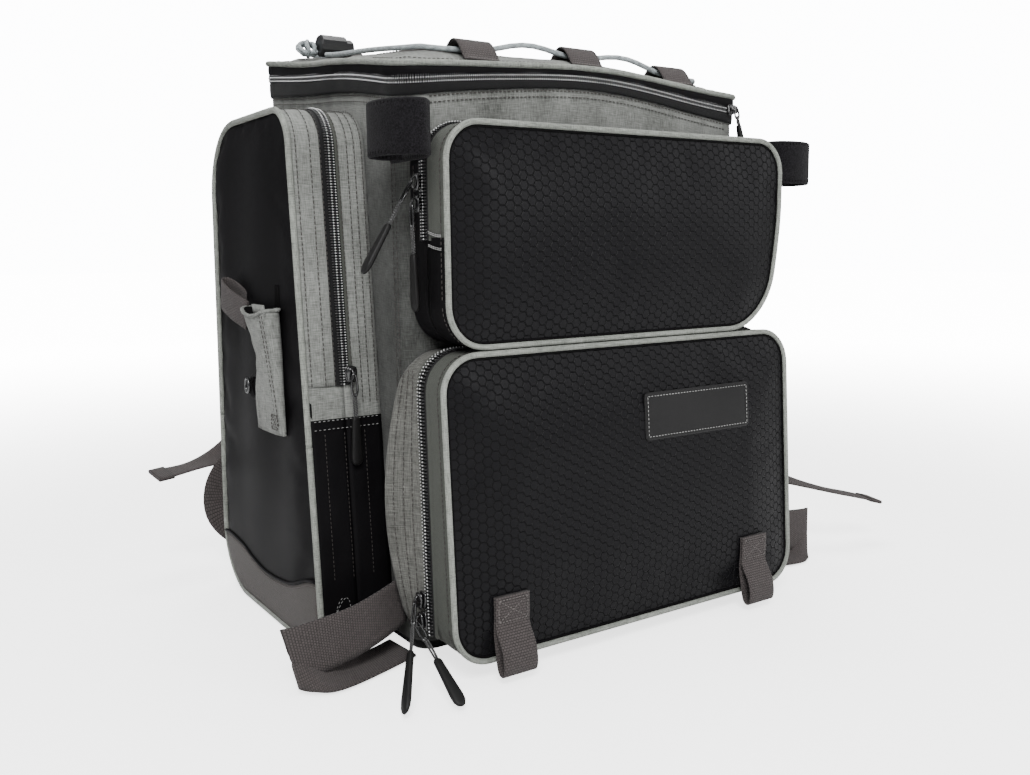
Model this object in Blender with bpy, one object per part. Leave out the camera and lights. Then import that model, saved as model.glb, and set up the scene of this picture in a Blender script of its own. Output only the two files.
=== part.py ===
"""Tackle backpack: boxy fabric pack with a zipped lid, two front pockets, two side pockets and a harness.

Metres. Seen from the front, +X points right, -Y towards the viewer and +Z up.
The origin is the middle of the base, on the ground.
"""
import math

import bmesh
import bpy
from mathutils import Vector

# ---------------------------------------------------------------- driving dimensions
GAP = 0.0003                    # clearance between touching pieces
FABRIC = 0.003                  # padded pocket fabric
HALF_W = 0.170                  # main body
HALF_D = 0.138
BODY_R = 0.022
BODY_WALL = 0.004
FLOOR_Z = 0.008
RIM = (0.4217, 0.4532)          # heights at the front and at the back: fabric rim of the body
ZIP = (0.4310, 0.4687)          # lid zip line
LID = (0.4440, 0.4830)          # lid top edge
LID_CROWN = 0.008
LID_CROWN_REACH = 0.060

TOP_X = 0.166                   # front top pocket
TOP_Z = (0.242, 0.3995)
TOP_ZIP_Y = -0.160
TOP_FACE_Y = -0.188
LOW_X = 0.174                   # front bottom pocket
LOW_Z = (0.015, 0.238)
LOW_ZIP_Y = (-0.170, -0.163)    # at the bottom edge and at the top edge
LOW_FACE_Y = (-0.203, -0.190)
LOW_FLARE = 0.020               # the gusset bellies out where it meets the body
BELLY_POWER = 1.6
PANEL_CROWN = 0.008
PANEL_REACH = 0.055

SIDE_X = 0.230                  # outer face of a side pocket
SIDE_ZIP_X = 0.2005
SIDE_OUTLINE = ((-0.101, 0.003), (0.129, 0.003), (0.118, 0.418), (-0.070, 0.418))   # (y, z)
SIDE_RADII = (0.020, 0.055, 0.045, 0.030)
SIDE_ZIP_END_Z = 0.2075
SIDE_FOLD_Z = 0.160
SIDE_CROWN = 0.003
SIDE_HINGE_X = 0.2336           # just outside the crowned face, so that the folding cover clears the pocket

PIPING_R = 0.0022
WEB_T = 0.0015                  # webbing thickness
BUNGEE_R = 0.0020

LASH_X = (-0.130, 0.121)        # centres of the lash loops on the bottom pocket
LASH_W = 0.030
STRAP_W = 0.038                 # rod straps and rod butt loops
HARNESS_HINGE = (0.1430, 0.434)
STRAP_W_PAD = 0.062
STRAP_T = 0.010
STERNUM_Z = 0.300
STERNUM_Y = 0.1835

HEATHER = ((0.26, 0.26, 0.25), 0.9, 0.0)
BLACK = ((0.018, 0.017, 0.019), 0.55, 0.0)
HEX = ((0.022, 0.021, 0.023), 0.4, 0.0)
WEBBING = ((0.07, 0.062, 0.06), 0.85, 0.0)
PIPING = ((0.33, 0.34, 0.32), 0.7, 0.0)
PLASTIC = ((0.012, 0.012, 0.013), 0.4, 0.0)
ZIPPER = ((0.02, 0.02, 0.021), 0.45, 0.0)
METAL = ((0.02, 0.02, 0.02), 0.35, 0.8)
BUNGEE = ((0.55, 0.62, 0.64), 0.6, 0.0)
MESH = ((0.03, 0.03, 0.032), 0.95, 0.0)
BOARD = ((0.5, 0.5, 0.5), 0.5, 0.0)


# ---------------------------------------------------------------- outlines
def lerp(pair, t):
    return pair[0] + (pair[1] - pair[0]) * t


def inset_corners(corners, d):
    """Move each side of a convex counter-clockwise outline inward by d."""
    moved = []
    count = len(corners)
    for i in range(count):
        p = Vector(corners[i - 1])
        q = Vector(corners[i])
        r = Vector(corners[(i + 1) % count])
        a = (q - p).normalized()
        b = (r - q).normalized()
        normal_a = Vector((-a.y, a.x))
        normal_b = Vector((-b.y, b.x))
        bisector = normal_a + normal_b
        moved.append(tuple(q + bisector * (d / (bisector.dot(normal_a)))))
    return moved


def rounded(corners, radii, steps=5, inset=0.0):
    """A counter-clockwise outline with a circular arc at each corner."""
    pts = []
    ring = inset_corners(corners, inset) if inset else list(corners)
    count = len(ring)
    for i in range(count):
        p = Vector(ring[i - 1])
        q = Vector(ring[i])
        r = Vector(ring[(i + 1) % count])
        to_p = (p - q).normalized()
        to_r = (r - q).normalized()
        half = math.acos(max(-1.0, min(1.0, to_p.dot(to_r)))) / 2
        radius = max(radii[i] - inset, 0.0015)
        centre = q + (to_p + to_r).normalized() * (radius / math.sin(half))
        start = q + to_p * (radius / math.tan(half)) - centre
        end = q + to_r * (radius / math.tan(half)) - centre
        a0 = math.atan2(start.y, start.x)
        sweep = (math.atan2(end.y, end.x) - a0 + math.pi) % (2 * math.pi) - math.pi
        for k in range(steps + 1):
            a = a0 + sweep * k / steps
            pts.append((centre.x + radius * math.cos(a), centre.y + radius * math.sin(a)))
    return pts


def box_corners(half_u, v0, v1):
    return ((-half_u, v0), (half_u, v0), (half_u, v1), (-half_u, v1))


BODY_CORNERS = box_corners(HALF_W, -HALF_D, HALF_D)
TOP_CORNERS = box_corners(TOP_X, *TOP_Z)
TOP_RADII = (0.030, 0.045, 0.027, 0.027)
TOP_TAPER = 0.016               # the right-hand side runs inward below this height
TOP_TAPER_Z = 0.345
LOW_CORNERS = box_corners(LOW_X, *LOW_Z)
LOW_RADII = (0.028,) * 4


def body_ring(inset=0.0):
    return rounded(BODY_CORNERS, (BODY_R,) * 4, 4, inset)


def along_depth(heights, y):
    """Height at y of an edge that climbs from the front to the back."""
    return lerp(heights, (y + HALF_D) / (2 * HALF_D))


def crown(d, height, reach):
    """Rise of a stuffed panel at distance d from its edge."""
    s = 1 - min(max(d, 0.0), reach) / reach
    return height * (1 - s * s)


def low_t(z):
    return (z - LOW_Z[0]) / (LOW_Z[1] - LOW_Z[0])


def panel_inset(corners, x, z):
    return min(corners[1][0] - abs(x), z - corners[0][1], corners[2][1] - z)


def top_taper(x, z):
    """Inward shift of the top pocket's right-hand side, which narrows towards the bottom."""
    drop = max(TOP_TAPER_Z - z, 0.0) / (TOP_TAPER_Z - TOP_Z[0])
    return TOP_TAPER * drop ** 1.5 * max(x, 0.0) / TOP_X


def low_face_y(x, z):
    """Outer surface of the bottom pocket's panel."""
    rise = crown(panel_inset(LOW_CORNERS, x, z), PANEL_CROWN, PANEL_REACH)
    return lerp(LOW_FACE_Y, low_t(z)) - rise


# ---------------------------------------------------------------- solids
def finish(name, bm, look, location=None):
    colour, roughness, metallic = look
    bmesh.ops.recalc_face_normals(bm, faces=bm.faces)
    mesh = bpy.data.meshes.new(name)
    bm.to_mesh(mesh)
    bm.free()
    mat = bpy.data.materials.new(name)
    mat.use_nodes = True
    shader = mat.node_tree.nodes["Principled BSDF"]
    shader.inputs["Base Color"].default_value = (*colour, 1.0)
    shader.inputs["Roughness"].default_value = roughness
    shader.inputs["Metallic"].default_value = metallic
    mesh.materials.append(mat)
    obj = bpy.data.objects.new(name, mesh)
    bpy.context.scene.collection.objects.link(obj)
    if location is not None:
        origin = Vector(location)
        for v in mesh.vertices:
            v.co -= origin
        obj.location = origin
    mesh.shade_smooth()
    mesh.set_sharp_from_angle(angle=math.radians(40))
    return obj


def add_loft(bm, loops, ring=False):
    """Skin consecutive loops of equal count; cap the ends, or close the loft on itself."""
    rows = [[bm.verts.new(p) for p in loop] for loop in loops]
    count = len(rows[0])
    pairs = list(zip(rows, rows[1:]))
    if ring:
        pairs.append((rows[-1], rows[0]))
    for a, b in pairs:
        for i in range(count):
            j = (i + 1) % count
            bm.faces.new((a[i], a[j], b[j], b[i]))
    if not ring:
        bm.faces.new(rows[0])
        bm.faces.new(rows[-1])


def loft(name, loops, look, ring=False, origin=None):
    bm = bmesh.new()
    add_loft(bm, loops, ring)
    return finish(name, bm, look, origin)


def slab(lo, hi):
    return [[(x, y, z) for x, y in ((lo[0], lo[1]), (hi[0], lo[1]), (hi[0], hi[1]), (lo[0], hi[1]))]
            for z in (lo[2], hi[2])]


def cut(obj, cutters):
    """Subtract boxes, given by their corners, and keep the result as the mesh."""
    for k, (lo, hi) in enumerate(cutters):
        bm = bmesh.new()
        add_loft(bm, slab(lo, hi))
        tool = finish(f"{obj.name}_cutter_{k}", bm, BLACK)
        tool.hide_render = True
        tool.display_type = "WIRE"
        mod = obj.modifiers.new(f"cut_{k}", "BOOLEAN")
        mod.operation = "DIFFERENCE"
        mod.solver = "EXACT"
        mod.object = tool
    return obj


def join(obj, solids):
    """Union closed lofts into an object; each entry is (loops, ring)."""
    for k, (loops, ring) in enumerate(solids):
        bm = bmesh.new()
        add_loft(bm, loops, ring)
        tool = finish(f"{obj.name}_part_{k}", bm, BLACK)
        tool.hide_render = True
        tool.display_type = "WIRE"
        mod = obj.modifiers.new(f"join_{k}", "BOOLEAN")
        mod.operation = "UNION"
        mod.solver = "EXACT"
        mod.object = tool
    return obj


def smooth_path(points, per_span):
    """Catmull-Rom curve through the points."""
    pts = [Vector(p) for p in points]
    pts = [2 * pts[0] - pts[1], *pts, 2 * pts[-1] - pts[-2]]
    out = []
    for i in range(1, len(pts) - 2):
        p0, p1, p2, p3 = pts[i - 1:i + 3]
        for k in range(per_span):
            t = k / per_span
            out.append(0.5 * (2 * p1 + (p2 - p0) * t + (2 * p0 - 5 * p1 + 4 * p2 - p3) * t * t
                              + (3 * p1 - p0 - 3 * p2 + p3) * t ** 3))
    out.append(pts[-2])
    return out


def ribbon_loops(path, across, width, thickness):
    """Rectangular sections along a path; across is one direction, or one for each point."""
    pts = [Vector(p) for p in path]
    many = not isinstance(across[0], (int, float))
    loops = []
    for i, p in enumerate(pts):
        ahead = pts[min(i + 1, len(pts) - 1)]
        behind = pts[max(i - 1, 0)]
        tangent = (ahead - behind).normalized()
        side = Vector(across[i] if many else across)
        side = (side - tangent * side.dot(tangent)).normalized()
        normal = tangent.cross(side)
        u = side * (width / 2)
        v = normal * (thickness / 2)
        loops.append([tuple(p - u - v), tuple(p + u - v), tuple(p + u + v), tuple(p - u + v)])
    return loops


def tube_loops(path, radius, sides=8, ring=False):
    pts = [Vector(p) for p in path]
    count = len(pts)
    loops = []
    normal = None
    for i, p in enumerate(pts):
        ahead = pts[(i + 1) % count] if ring else pts[min(i + 1, count - 1)]
        behind = pts[i - 1] if ring else pts[max(i - 1, 0)]
        tangent = (ahead - behind).normalized()
        if normal is None:
            normal = tangent.orthogonal()
        normal = (normal - tangent * normal.dot(tangent)).normalized()
        binormal = tangent.cross(normal)
        loops.append([tuple(p + normal * (radius * math.cos(a)) + binormal * (radius * math.sin(a)))
                      for a in (2 * math.pi * k / sides for k in range(sides))])
    return loops


def mirror_x(points):
    return [(-p[0], p[1], p[2]) for p in points]


# ---------------------------------------------------------------- main body
def main_body():
    chamfer = 0.006

    def at(ring, z_of):
        return [(x, y, z_of(y)) for x, y in ring]

    loft("main_shell", [
        at(body_ring(chamfer), lambda y: FLOOR_Z),
        at(body_ring(), lambda y: FLOOR_Z + chamfer),
        at(body_ring(), lambda y: along_depth(RIM, y)),
        at(body_ring(BODY_WALL), lambda y: along_depth(RIM, y)),
        at(body_ring(BODY_WALL), lambda y: FLOOR_Z + BODY_WALL)], HEATHER)
    loft("base_panel", [
        at(body_ring(0.008), lambda y: 0.0),
        at(body_ring(0.006), lambda y: 0.002),
        at(body_ring(0.006), lambda y: FLOOR_Z - GAP)], BLACK)
    loft("lid_zip", [
        at(body_ring(0.0), lambda y: along_depth(RIM, y) + GAP),
        at(body_ring(-0.0010), lambda y: along_depth(ZIP, y) - GAP),
        at(body_ring(0.0025), lambda y: along_depth(ZIP, y) - GAP),
        at(body_ring(0.0025), lambda y: along_depth(RIM, y) + GAP)], BLACK, ring=True)
    inside = HALF_D - BODY_WALL - GAP
    loft("back_stiffener", slab((-0.144, inside - 0.003, 0.0125), (0.144, inside, 0.400)), BOARD)


def back_pad_loops(x0, x1, z0, z1, radius):
    depth = 0.015
    corners = ((x0, z0), (x1, z0), (x1, z1), (x0, z1))
    start = HALF_D + 2 * GAP
    loops = []
    for inset, rise in ((0.0, 0.0), (0.0, 0.6), (0.006, 0.9), (0.016, 1.0)):
        ring = rounded(corners, (radius,) * 4, 4, inset)
        loops.append([(x, start + depth * rise, z) for x, z in ring])
    return loops


def back_panel():
    """One sewn sheet that carries three foam pads and, at the top, the yoke of the shoulder straps."""
    start = HALF_D + GAP
    sheet = loft("back_panel", slab((-0.134, start, 0.030), (0.134, start + 0.003, 0.440)), MESH)
    join(sheet, [
        (back_pad_loops(-0.128, -0.014, 0.150, 0.395, 0.020), False),
        (back_pad_loops(0.014, 0.128, 0.150, 0.395, 0.020), False),
        (back_pad_loops(-0.128, 0.128, 0.035, 0.138, 0.025), False)])


# ---------------------------------------------------------------- lid
def lid_height(x, y):
    """Outer surface of the lid's top."""
    d = min(HALF_W - abs(x), HALF_D - abs(y))
    return along_depth(LID, y) + crown(d, LID_CROWN, LID_CROWN_REACH)


def lid():
    def at(inset, z_of):
        return [(x, y, z_of(y)) for x, y in body_ring(inset)]

    def top(inset, down):
        rise = crown(inset, LID_CROWN, LID_CROWN_REACH)
        return at(inset, lambda y: along_depth(LID, y) + rise - down)

    wall = 0.0035
    hinge = (0.0, HALF_D, ZIP[1])
    insets = (0.060, 0.025, 0.010, 0.0)
    inner = (wall, 0.010, 0.025, 0.060)
    loft("lid_shell", [
        *[top(i, 0.0) for i in insets],
        at(0.0, lambda y: along_depth(ZIP, y) + GAP),
        at(wall, lambda y: along_depth(ZIP, y) + GAP),
        *[top(i, 0.004) for i in inner]], HEATHER, origin=hinge)
    edge = rounded(BODY_CORNERS, (BODY_R,) * 4, 5, -0.0030)
    loft("lid_piping", tube_loops([(x, y, along_depth(LID, y) - 0.001) for x, y in edge], PIPING_R, 6, True),
         PIPING, ring=True, origin=hinge)


LOOP_X = (-0.100, 0.0, 0.100)
LOOP_FRONT_Y = -0.118
LOOP_BACK_Y = 0.112
LOOP_W = 0.032


def lid_loop(x, y):
    """A webbing arch over the lid; the cord runs through it from side to side."""
    reach = 0.014
    rise = 0.011
    path = []
    for k in range(9):
        s = -1 + 2 * k / 8
        yy = y + reach * s
        lift = GAP + WEB_T / 2 + rise * math.cos(s * math.pi / 2) ** 0.8
        path.append((x, yy, lid_height(x, yy) + lift))
    return ribbon_loops(path, (1, 0, 0), LOOP_W, WEB_T)


LOCK = Vector((-0.132, 0.070, 0.0))
LOCK_Z = lid_height(LOCK.x, LOCK.y) + 0.0118


def bungee_route():
    lift = 0.0055
    stops = [(-0.150, 0.078), (-0.144, 0.104), (-0.122, LOOP_BACK_Y), (-0.100, LOOP_BACK_Y),
             (0.0, LOOP_BACK_Y), (0.100, LOOP_BACK_Y),
             (0.140, 0.098), (0.152, 0.060), (0.154, 0.0), (0.153, -0.070), (0.142, -0.106),
             (0.100, LOOP_FRONT_Y), (0.0, LOOP_FRONT_Y), (-0.100, LOOP_FRONT_Y),
             (-0.140, -0.104), (-0.151, -0.070), (-0.151, 0.0), (-0.146, 0.048)]
    pts = smooth_path([(x, y, 0.0) for x, y in stops], 4)
    return [(p.x, p.y, lid_height(p.x, p.y) + lift) for p in pts]


def lid_fittings():
    hinge = (0.0, HALF_D, ZIP[1])
    tape_t = 0.0010
    front, back = LOOP_FRONT_Y - 0.0135, LOOP_BACK_Y + 0.0135
    corners = box_corners(0.136, front, back)
    rows = []
    for inset, lift in ((0.0, GAP), (0.0, tape_t), (0.006, tape_t), (0.006, GAP)):
        ring = rounded(corners, (0.012,) * 4, 3, inset)
        rows.append([(x, y, along_depth(LID, y) + crown(HALF_D - abs(front), LID_CROWN, LID_CROWN_REACH)
                      + lift + 0.0050) for x, y in ring])
    tape = loft("lid_loops", rows, WEBBING, ring=True, origin=hinge)
    join(tape, [(lid_loop(x, y), False) for y in (LOOP_FRONT_Y, LOOP_BACK_Y) for x in LOOP_X])
    loft("bungee_cord", tube_loops(bungee_route(), BUNGEE_R, 6), BUNGEE, origin=hinge)

    def disc(x, radius, sides=14):
        return [(x, LOCK.y + radius * math.cos(a), LOCK_Z + radius * math.sin(a))
                for a in (2 * math.pi * k / sides for k in range(sides))]

    x0 = LOCK.x - 0.012
    x1 = LOCK.x + 0.012
    loft("cord_lock_barrel", [disc(x0, 0.0082), disc(x0 + 0.0015, 0.0095), disc(x1, 0.0095),
                              disc(x1, 0.0076), disc(x0 + 0.003, 0.0076)], PLASTIC, origin=hinge)
    loft("cord_lock_plunger", [disc(x0 + 0.018, 0.0058), disc(x0 + 0.012, 0.0058), disc(x0 + 0.012, 0.0072),
                               disc(x1 + 0.0065, 0.0072), disc(x1 + 0.008, 0.0060)], PLASTIC,
         origin=(x1, LOCK.y, LOCK_Z))
    turns = 4
    length = 0.0082
    wire = [(x0 + 0.0034 + length * t, LOCK.y + 0.0050 * math.cos(a), LOCK_Z + 0.0050 * math.sin(a))
            for t, a in ((k / 40, 2 * math.pi * turns * k / 40) for k in range(41))]
    loft("cord_lock_spring", tube_loops(wire, 0.00045, 5), METAL, origin=hinge)


def carry_handle():
    """Webbing handle in the seam at the top back edge; it stands a little higher at one side."""
    foot_z = ZIP[1] + 0.003
    y = HALF_D + 0.0075
    route = [((-0.074, y, foot_z), 0.0), ((-0.074, y + 0.001, foot_z + 0.012), 0.1),
             ((-0.062, y + 0.007, foot_z + 0.028), 0.8), ((-0.030, y + 0.010, foot_z + 0.037), 1.0),
             ((0.005, y + 0.011, foot_z + 0.044), 1.0), ((0.040, y + 0.010, foot_z + 0.048), 1.0),
             ((0.060, y + 0.007, foot_z + 0.038), 0.8), ((0.070, y + 0.001, foot_z + 0.014), 0.1),
             ((0.070, y, foot_z), 0.0)]
    path = smooth_path([p for p, _ in route], 3)
    turns = [p.x for p in smooth_path([(t, 0.0, 0.0) for _, t in route], 3)]
    across = [(1 - t, t, 0.0) for t in turns]
    loft("carry_handle", ribbon_loops(path, across, 0.024, 0.0024), WEBBING, origin=(0.0, y, foot_z))


# ---------------------------------------------------------------- zip sliders and pulls
def slider(name, centre, size):
    lo = [c - h / 2 for c, h in zip(centre, size)]
    hi = [c + h / 2 for c, h in zip(centre, size)]
    return loft(name, slab(lo, hi), METAL, origin=centre)


def pull(name, start, end, across, width=0.008):
    """A cord pull: a slim neck that widens into a flat rubber grip."""
    a = Vector(start)
    b = Vector(end)
    widths = ((0.0, 0.45), (0.35, 0.45), (0.55, 0.75), (0.80, 1.0), (0.95, 1.0), (1.0, 0.6))
    axis = (b - a).normalized()
    side = Vector(across)
    side = (side - axis * side.dot(axis)).normalized()
    normal = axis.cross(side)
    loops = []
    for t, share in widths:
        p = a.lerp(b, t)
        u = side * (width / 2 * share)
        v = normal * (0.0016 if share < 0.6 else 0.0020)
        loops.append([tuple(p - u * 0.6 - v), tuple(p + u * 0.6 - v), tuple(p + u), tuple(p + u * 0.6 + v),
                      tuple(p - u * 0.6 + v), tuple(p - u)])
    return loft(name, loops, PLASTIC, origin=start)


# ---------------------------------------------------------------- front pockets
def xz_ring(corners, radii, y_of, inset=0.0, steps=5, flare=0.0):
    pts = []
    for x, z in rounded(corners, radii, steps, inset):
        shift = flare * math.sin(math.pi * min(max(low_t(z), 0.0), 1.0)) * x / LOW_X
        if corners is TOP_CORNERS:
            shift = -top_taper(x, z)
        pts.append((x + shift, y_of(z), z))
    return pts


def pocket(prefix, corners, radii, zip_y, face_y, flare, origin):
    """Gusset on the body, and a stuffed cover beyond the zip line."""
    start = -HALF_D - GAP

    def at(y_of, inset, bulge=0.0):
        return xz_ring(corners, radii, y_of, inset, 5, bulge)

    steps = (1.0, 0.75, 0.5, 0.25, 0.0) if flare else (1.0, 0.0)

    def gusset_row(share, inset):
        def y_of(z):
            return zip_y(z) + GAP + (start - zip_y(z) - GAP) * share
        return at(y_of, inset, flare * share ** BELLY_POWER)

    loft(f"{prefix}_pocket_gusset", [
        *[gusset_row(share, 0.0) for share in steps],
        *[gusset_row(share, FABRIC) for share in reversed(steps)]], HEATHER, ring=True)
    outside = [(i, crown(i, PANEL_CROWN, PANEL_REACH)) for i in (0.0, 0.006, 0.016, 0.032, 0.055)]
    loft(f"{prefix}_pocket_cover", [
        *[at(lambda z, r=r: face_y(z) - r, i) for i, r in reversed(outside)],
        at(lambda z: zip_y(z) - GAP, 0.0), at(lambda z: zip_y(z) - GAP, FABRIC),
        *[at(lambda z, r=r: face_y(z) - r + FABRIC, max(i, FABRIC)) for i, r in outside]], HEX, origin=origin)
    edge = xz_ring(corners, radii, lambda z: face_y(z) - PIPING_R - GAP, 0.0005)
    loft(f"{prefix}_pocket_piping", tube_loops(edge, PIPING_R, 6, True), PIPING, ring=True, origin=origin)


def zip_strip(name, corners, radii, y_of, low_end_z, belly):
    """Tape and coil that run up one side, over the top and down the other side."""
    ring = rounded(corners, radii, 5, -0.0015)
    top = [p for p in ring if p[1] > low_end_z + 0.020]
    x_edge = corners[1][0] + 0.0015
    straight = [low_end_z + 0.020 * k for k in range(int((top[0][1] - low_end_z) / 0.020))]
    path = [*[(x_edge, z) for z in straight], *top, *[(-x_edge, z) for z in reversed(straight)]]
    if corners is TOP_CORNERS:
        path = [(x - top_taper(x, z), z) for x, z in path]
    loops = []
    for i, (x, z) in enumerate(path):
        ahead = Vector(path[min(i + 1, len(path) - 1)])
        behind = Vector(path[max(i - 1, 0)])
        t = (ahead - behind).normalized()
        out = Vector((t.y, -t.x)) * 0.0008
        back, fore = y_of(z) + 0.0085, y_of(z) + 0.0006
        side = x / corners[1][0]
        rear, near = belly(back, z) * side, belly(fore, z) * side
        loops.append([(x - out.x + rear, back, z - out.y), (x + out.x + rear, back, z + out.y),
                      (x + out.x + near, fore, z + out.y), (x - out.x + near, fore, z - out.y)])
    loft(name, loops, ZIPPER)


def front_pockets():
    pocket("top", TOP_CORNERS, TOP_RADII, lambda z: TOP_ZIP_Y, lambda z: TOP_FACE_Y, 0.0,
           (0.0, TOP_FACE_Y, TOP_Z[0]))
    pocket("low", LOW_CORNERS, LOW_RADII, lambda z: lerp(LOW_ZIP_Y, low_t(z)),
           lambda z: lerp(LOW_FACE_Y, low_t(z)), LOW_FLARE, (0.0, LOW_FACE_Y[0], LOW_Z[0]))
    zip_strip("top_zip", TOP_CORNERS, TOP_RADII, lambda z: TOP_ZIP_Y, 0.300, lambda y, z: 0.0)
    zip_strip("low_zip", LOW_CORNERS, LOW_RADII, lambda z: lerp(LOW_ZIP_Y, low_t(z)), 0.034, low_belly)

    # The top pocket's two sliders wait near the middle of its right-hand side.
    x = -TOP_X - 0.0050
    y = TOP_ZIP_Y + 0.0045
    ends = {"upper": (-0.214, y, 0.296), "lower": (x - 0.0048, y - 0.004, 0.268)}
    for name, z in (("upper", 0.359), ("lower", 0.344)):
        slider(f"top_slider_{name}", (x, y, z), (0.0052, 0.0090, 0.0120))
        pull(f"top_pull_{name}", (x - 0.0048, y, z), ends[name], (0.0, 1.0, 0.0))

    # The bottom pocket's sliders are parked at the foot of the same side.
    for name, z, end, across in (("upper", 0.056, (-0.226, -0.224, 0.0050), (0.0, 1.0, -0.4)),
                                 ("lower", 0.041, (-0.1885, -0.236, 0.0050), (1.0, 0.0, 0.0))):
        y = lerp(LOW_ZIP_Y, low_t(z)) + 0.0045
        x = -LOW_X - 0.0056 - low_belly(y + 0.0045, 0.5 * (LOW_Z[0] + LOW_Z[1]))
        slider(f"low_slider_{name}", (x, y, z), (0.0052, 0.0090, 0.0120))
        pull(f"low_pull_{name}", (x - 0.0048, y - 0.001, z), end, across)


def low_belly(y, z):
    """How far the bottom pocket's gusset stands out beside its straight outline."""
    zip_y = lerp(LOW_ZIP_Y, low_t(z))
    share = max((y - zip_y) / (-HALF_D - zip_y), 0.0)
    return LOW_FLARE * math.sin(math.pi * min(max(low_t(z), 0.0), 1.0)) * share ** BELLY_POWER


def low_pocket_trim():
    hinge = (0.0, LOW_FACE_Y[0], LOW_Z[0])
    x0, x1, z0, z1 = 0.002, 0.118, 0.160, 0.198
    corners = ((x0, z0), (x1, z0), (x1, z1), (x0, z1))
    loops = []
    for inset, out in ((0.0, 0.0008), (0.0, 0.0024), (0.0008, 0.0028)):
        ring = rounded(corners, (0.004,) * 4, 3, inset)
        loops.append([(x, low_face_y(x, z) - out, z) for x, z in ring])
    loft("label_patch", loops, PLASTIC, origin=hinge)

    for side, x in zip(("left", "right"), LASH_X):
        def face(z):
            return low_face_y(x, z)
        plane = lerp(LOW_FACE_Y, 0.0)
        path = [(x, face(0.064) - 0.0012, 0.064), (x, face(0.050) - 0.0014, 0.050),
                (x, face(0.036) - 0.0018, 0.036), (x, plane - 0.0078, 0.022), (x, plane - 0.0095, 0.013),
                (x, plane - 0.0125, 0.0075), (x, plane - 0.0170, 0.0080), (x, plane - 0.0185, 0.015),
                (x, plane - 0.0160, 0.027), (x, face(0.040) - 0.0042, 0.040), (x, face(0.050) - 0.0034, 0.050),
                (x, face(0.064) - 0.0032, 0.064)]
        loft(f"lash_loop_{side}", ribbon_loops(smooth_path(path, 2), (1, 0, 0), LASH_W, WEB_T), WEBBING,
             origin=hinge)


# ---------------------------------------------------------------- side pockets
def side_loops(sign, rows):
    """rows are (x, inset) along the outline of a side pocket."""
    loops = []
    for x, inset in rows:
        ring = rounded(SIDE_OUTLINE, SIDE_RADII, 5, inset)
        loops.append([(sign * x, y, z) for y, z in ring])
    return loops


def side_pocket(side, sign):
    start = HALF_W + 2 * GAP
    wall = FABRIC
    far = 0.6

    def box(x0, x1, z0, z1):
        xs = sorted((sign * x0, sign * x1))
        return (xs[0], -far, z0), (xs[1], far, z1)

    domed = [(SIDE_X + crown(i, SIDE_CROWN, 0.05), i) for i in (0.0, 0.008, 0.022, 0.050)]
    hollow = [(x - wall, max(i, wall)) for x, i in domed]
    body = loft(f"side_{side}_pocket", side_loops(sign, [
        *reversed(domed), (start, 0.0), (start, wall), *hollow]), HEATHER)
    cut(body, [box(SIDE_ZIP_X - 0.001, far, SIDE_ZIP_END_Z - 0.001, far),
               box(SIDE_X - wall - 0.0006, far, SIDE_FOLD_Z - 0.001, far)])
    hinge = (sign * SIDE_HINGE_X, 0.0, SIDE_FOLD_Z - 0.0005)
    cover = loft(f"side_{side}_cover", side_loops(sign, [
        *reversed(domed), (SIDE_ZIP_X, 0.0), (SIDE_ZIP_X, wall), *hollow]), BLACK, origin=hinge)
    cut(cover, [box(0.0, SIDE_X - wall - 0.0002, -far, SIDE_ZIP_END_Z + 0.001),
                box(0.0, far, -far, SIDE_FOLD_Z)])
    ring = rounded(SIDE_OUTLINE, SIDE_RADII, 5, 0.0005)
    upper = [p for p in ring if p[1] > 0.2]
    front = SIDE_OUTLINE[0]
    back = SIDE_OUTLINE[1]

    def edge_y(foot, head, z):
        return foot[0] + (head[0] - foot[0]) * (z - foot[1]) / (head[1] - foot[1])

    low = SIDE_FOLD_Z + 0.002
    path = [(edge_y(back, SIDE_OUTLINE[2], low), low), *upper, (edge_y(front, SIDE_OUTLINE[3], low), low)]
    tube = [(sign * (SIDE_X + PIPING_R + GAP), y, z) for y, z in path]
    loft(f"side_{side}_piping", tube_loops(tube, PIPING_R, 6), PIPING, origin=hinge)


def side_front_y(z):
    """Front gusset of a side pocket at height z."""
    foot, head = SIDE_OUTLINE[0], SIDE_OUTLINE[3]
    return foot[0] + (head[0] - foot[0]) * (z - foot[1]) / (head[1] - foot[1])


def side_pockets():
    for side, sign in (("left", -1), ("right", 1)):
        side_pocket(side, sign)
        z = SIDE_ZIP_END_Z + 0.010
        y = side_front_y(z) - 0.0054
        x = sign * (SIDE_ZIP_X - 0.0050)
        slider(f"side_{side}_slider", (x, y, z), (0.0090, 0.0052, 0.0120))
        pull(f"side_{side}_pull", (x, y - 0.0048, z), (x, y - 0.0048, z - 0.070), (1.0, 0.0, 0.0))


# ---------------------------------------------------------------- straps on the front and the sides
ROD_STRAP_Z = 0.388
ROD_HINGE = (0.1722, -0.1215)


def rod_strap(side, sign, reach):
    """Hook-and-loop strap closed on itself in a ring beside the front corner."""
    x, y = ROD_HINGE
    plan = [(x, y), (x + 0.0005, y - 0.020), (x + 0.0015, y - 0.038), (x + 0.012, y - 0.054),
            (x + 0.55 * reach, y - 0.060), (x + 0.90 * reach, y - 0.052), (x + reach, y - 0.038),
            (x + 0.90 * reach, y - 0.026), (x + 0.55 * reach, y - 0.020), (x + 0.012, y - 0.021),
            (x + 0.0050, y - 0.024)]
    path = smooth_path([(sign * px, py, ROD_STRAP_Z) for px, py in plan], 2)
    loft(f"rod_strap_{side}", ribbon_loops(path, (0, 0, 1), STRAP_W, 0.0022), BLACK,
         origin=(sign * x, y, ROD_STRAP_Z))


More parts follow.
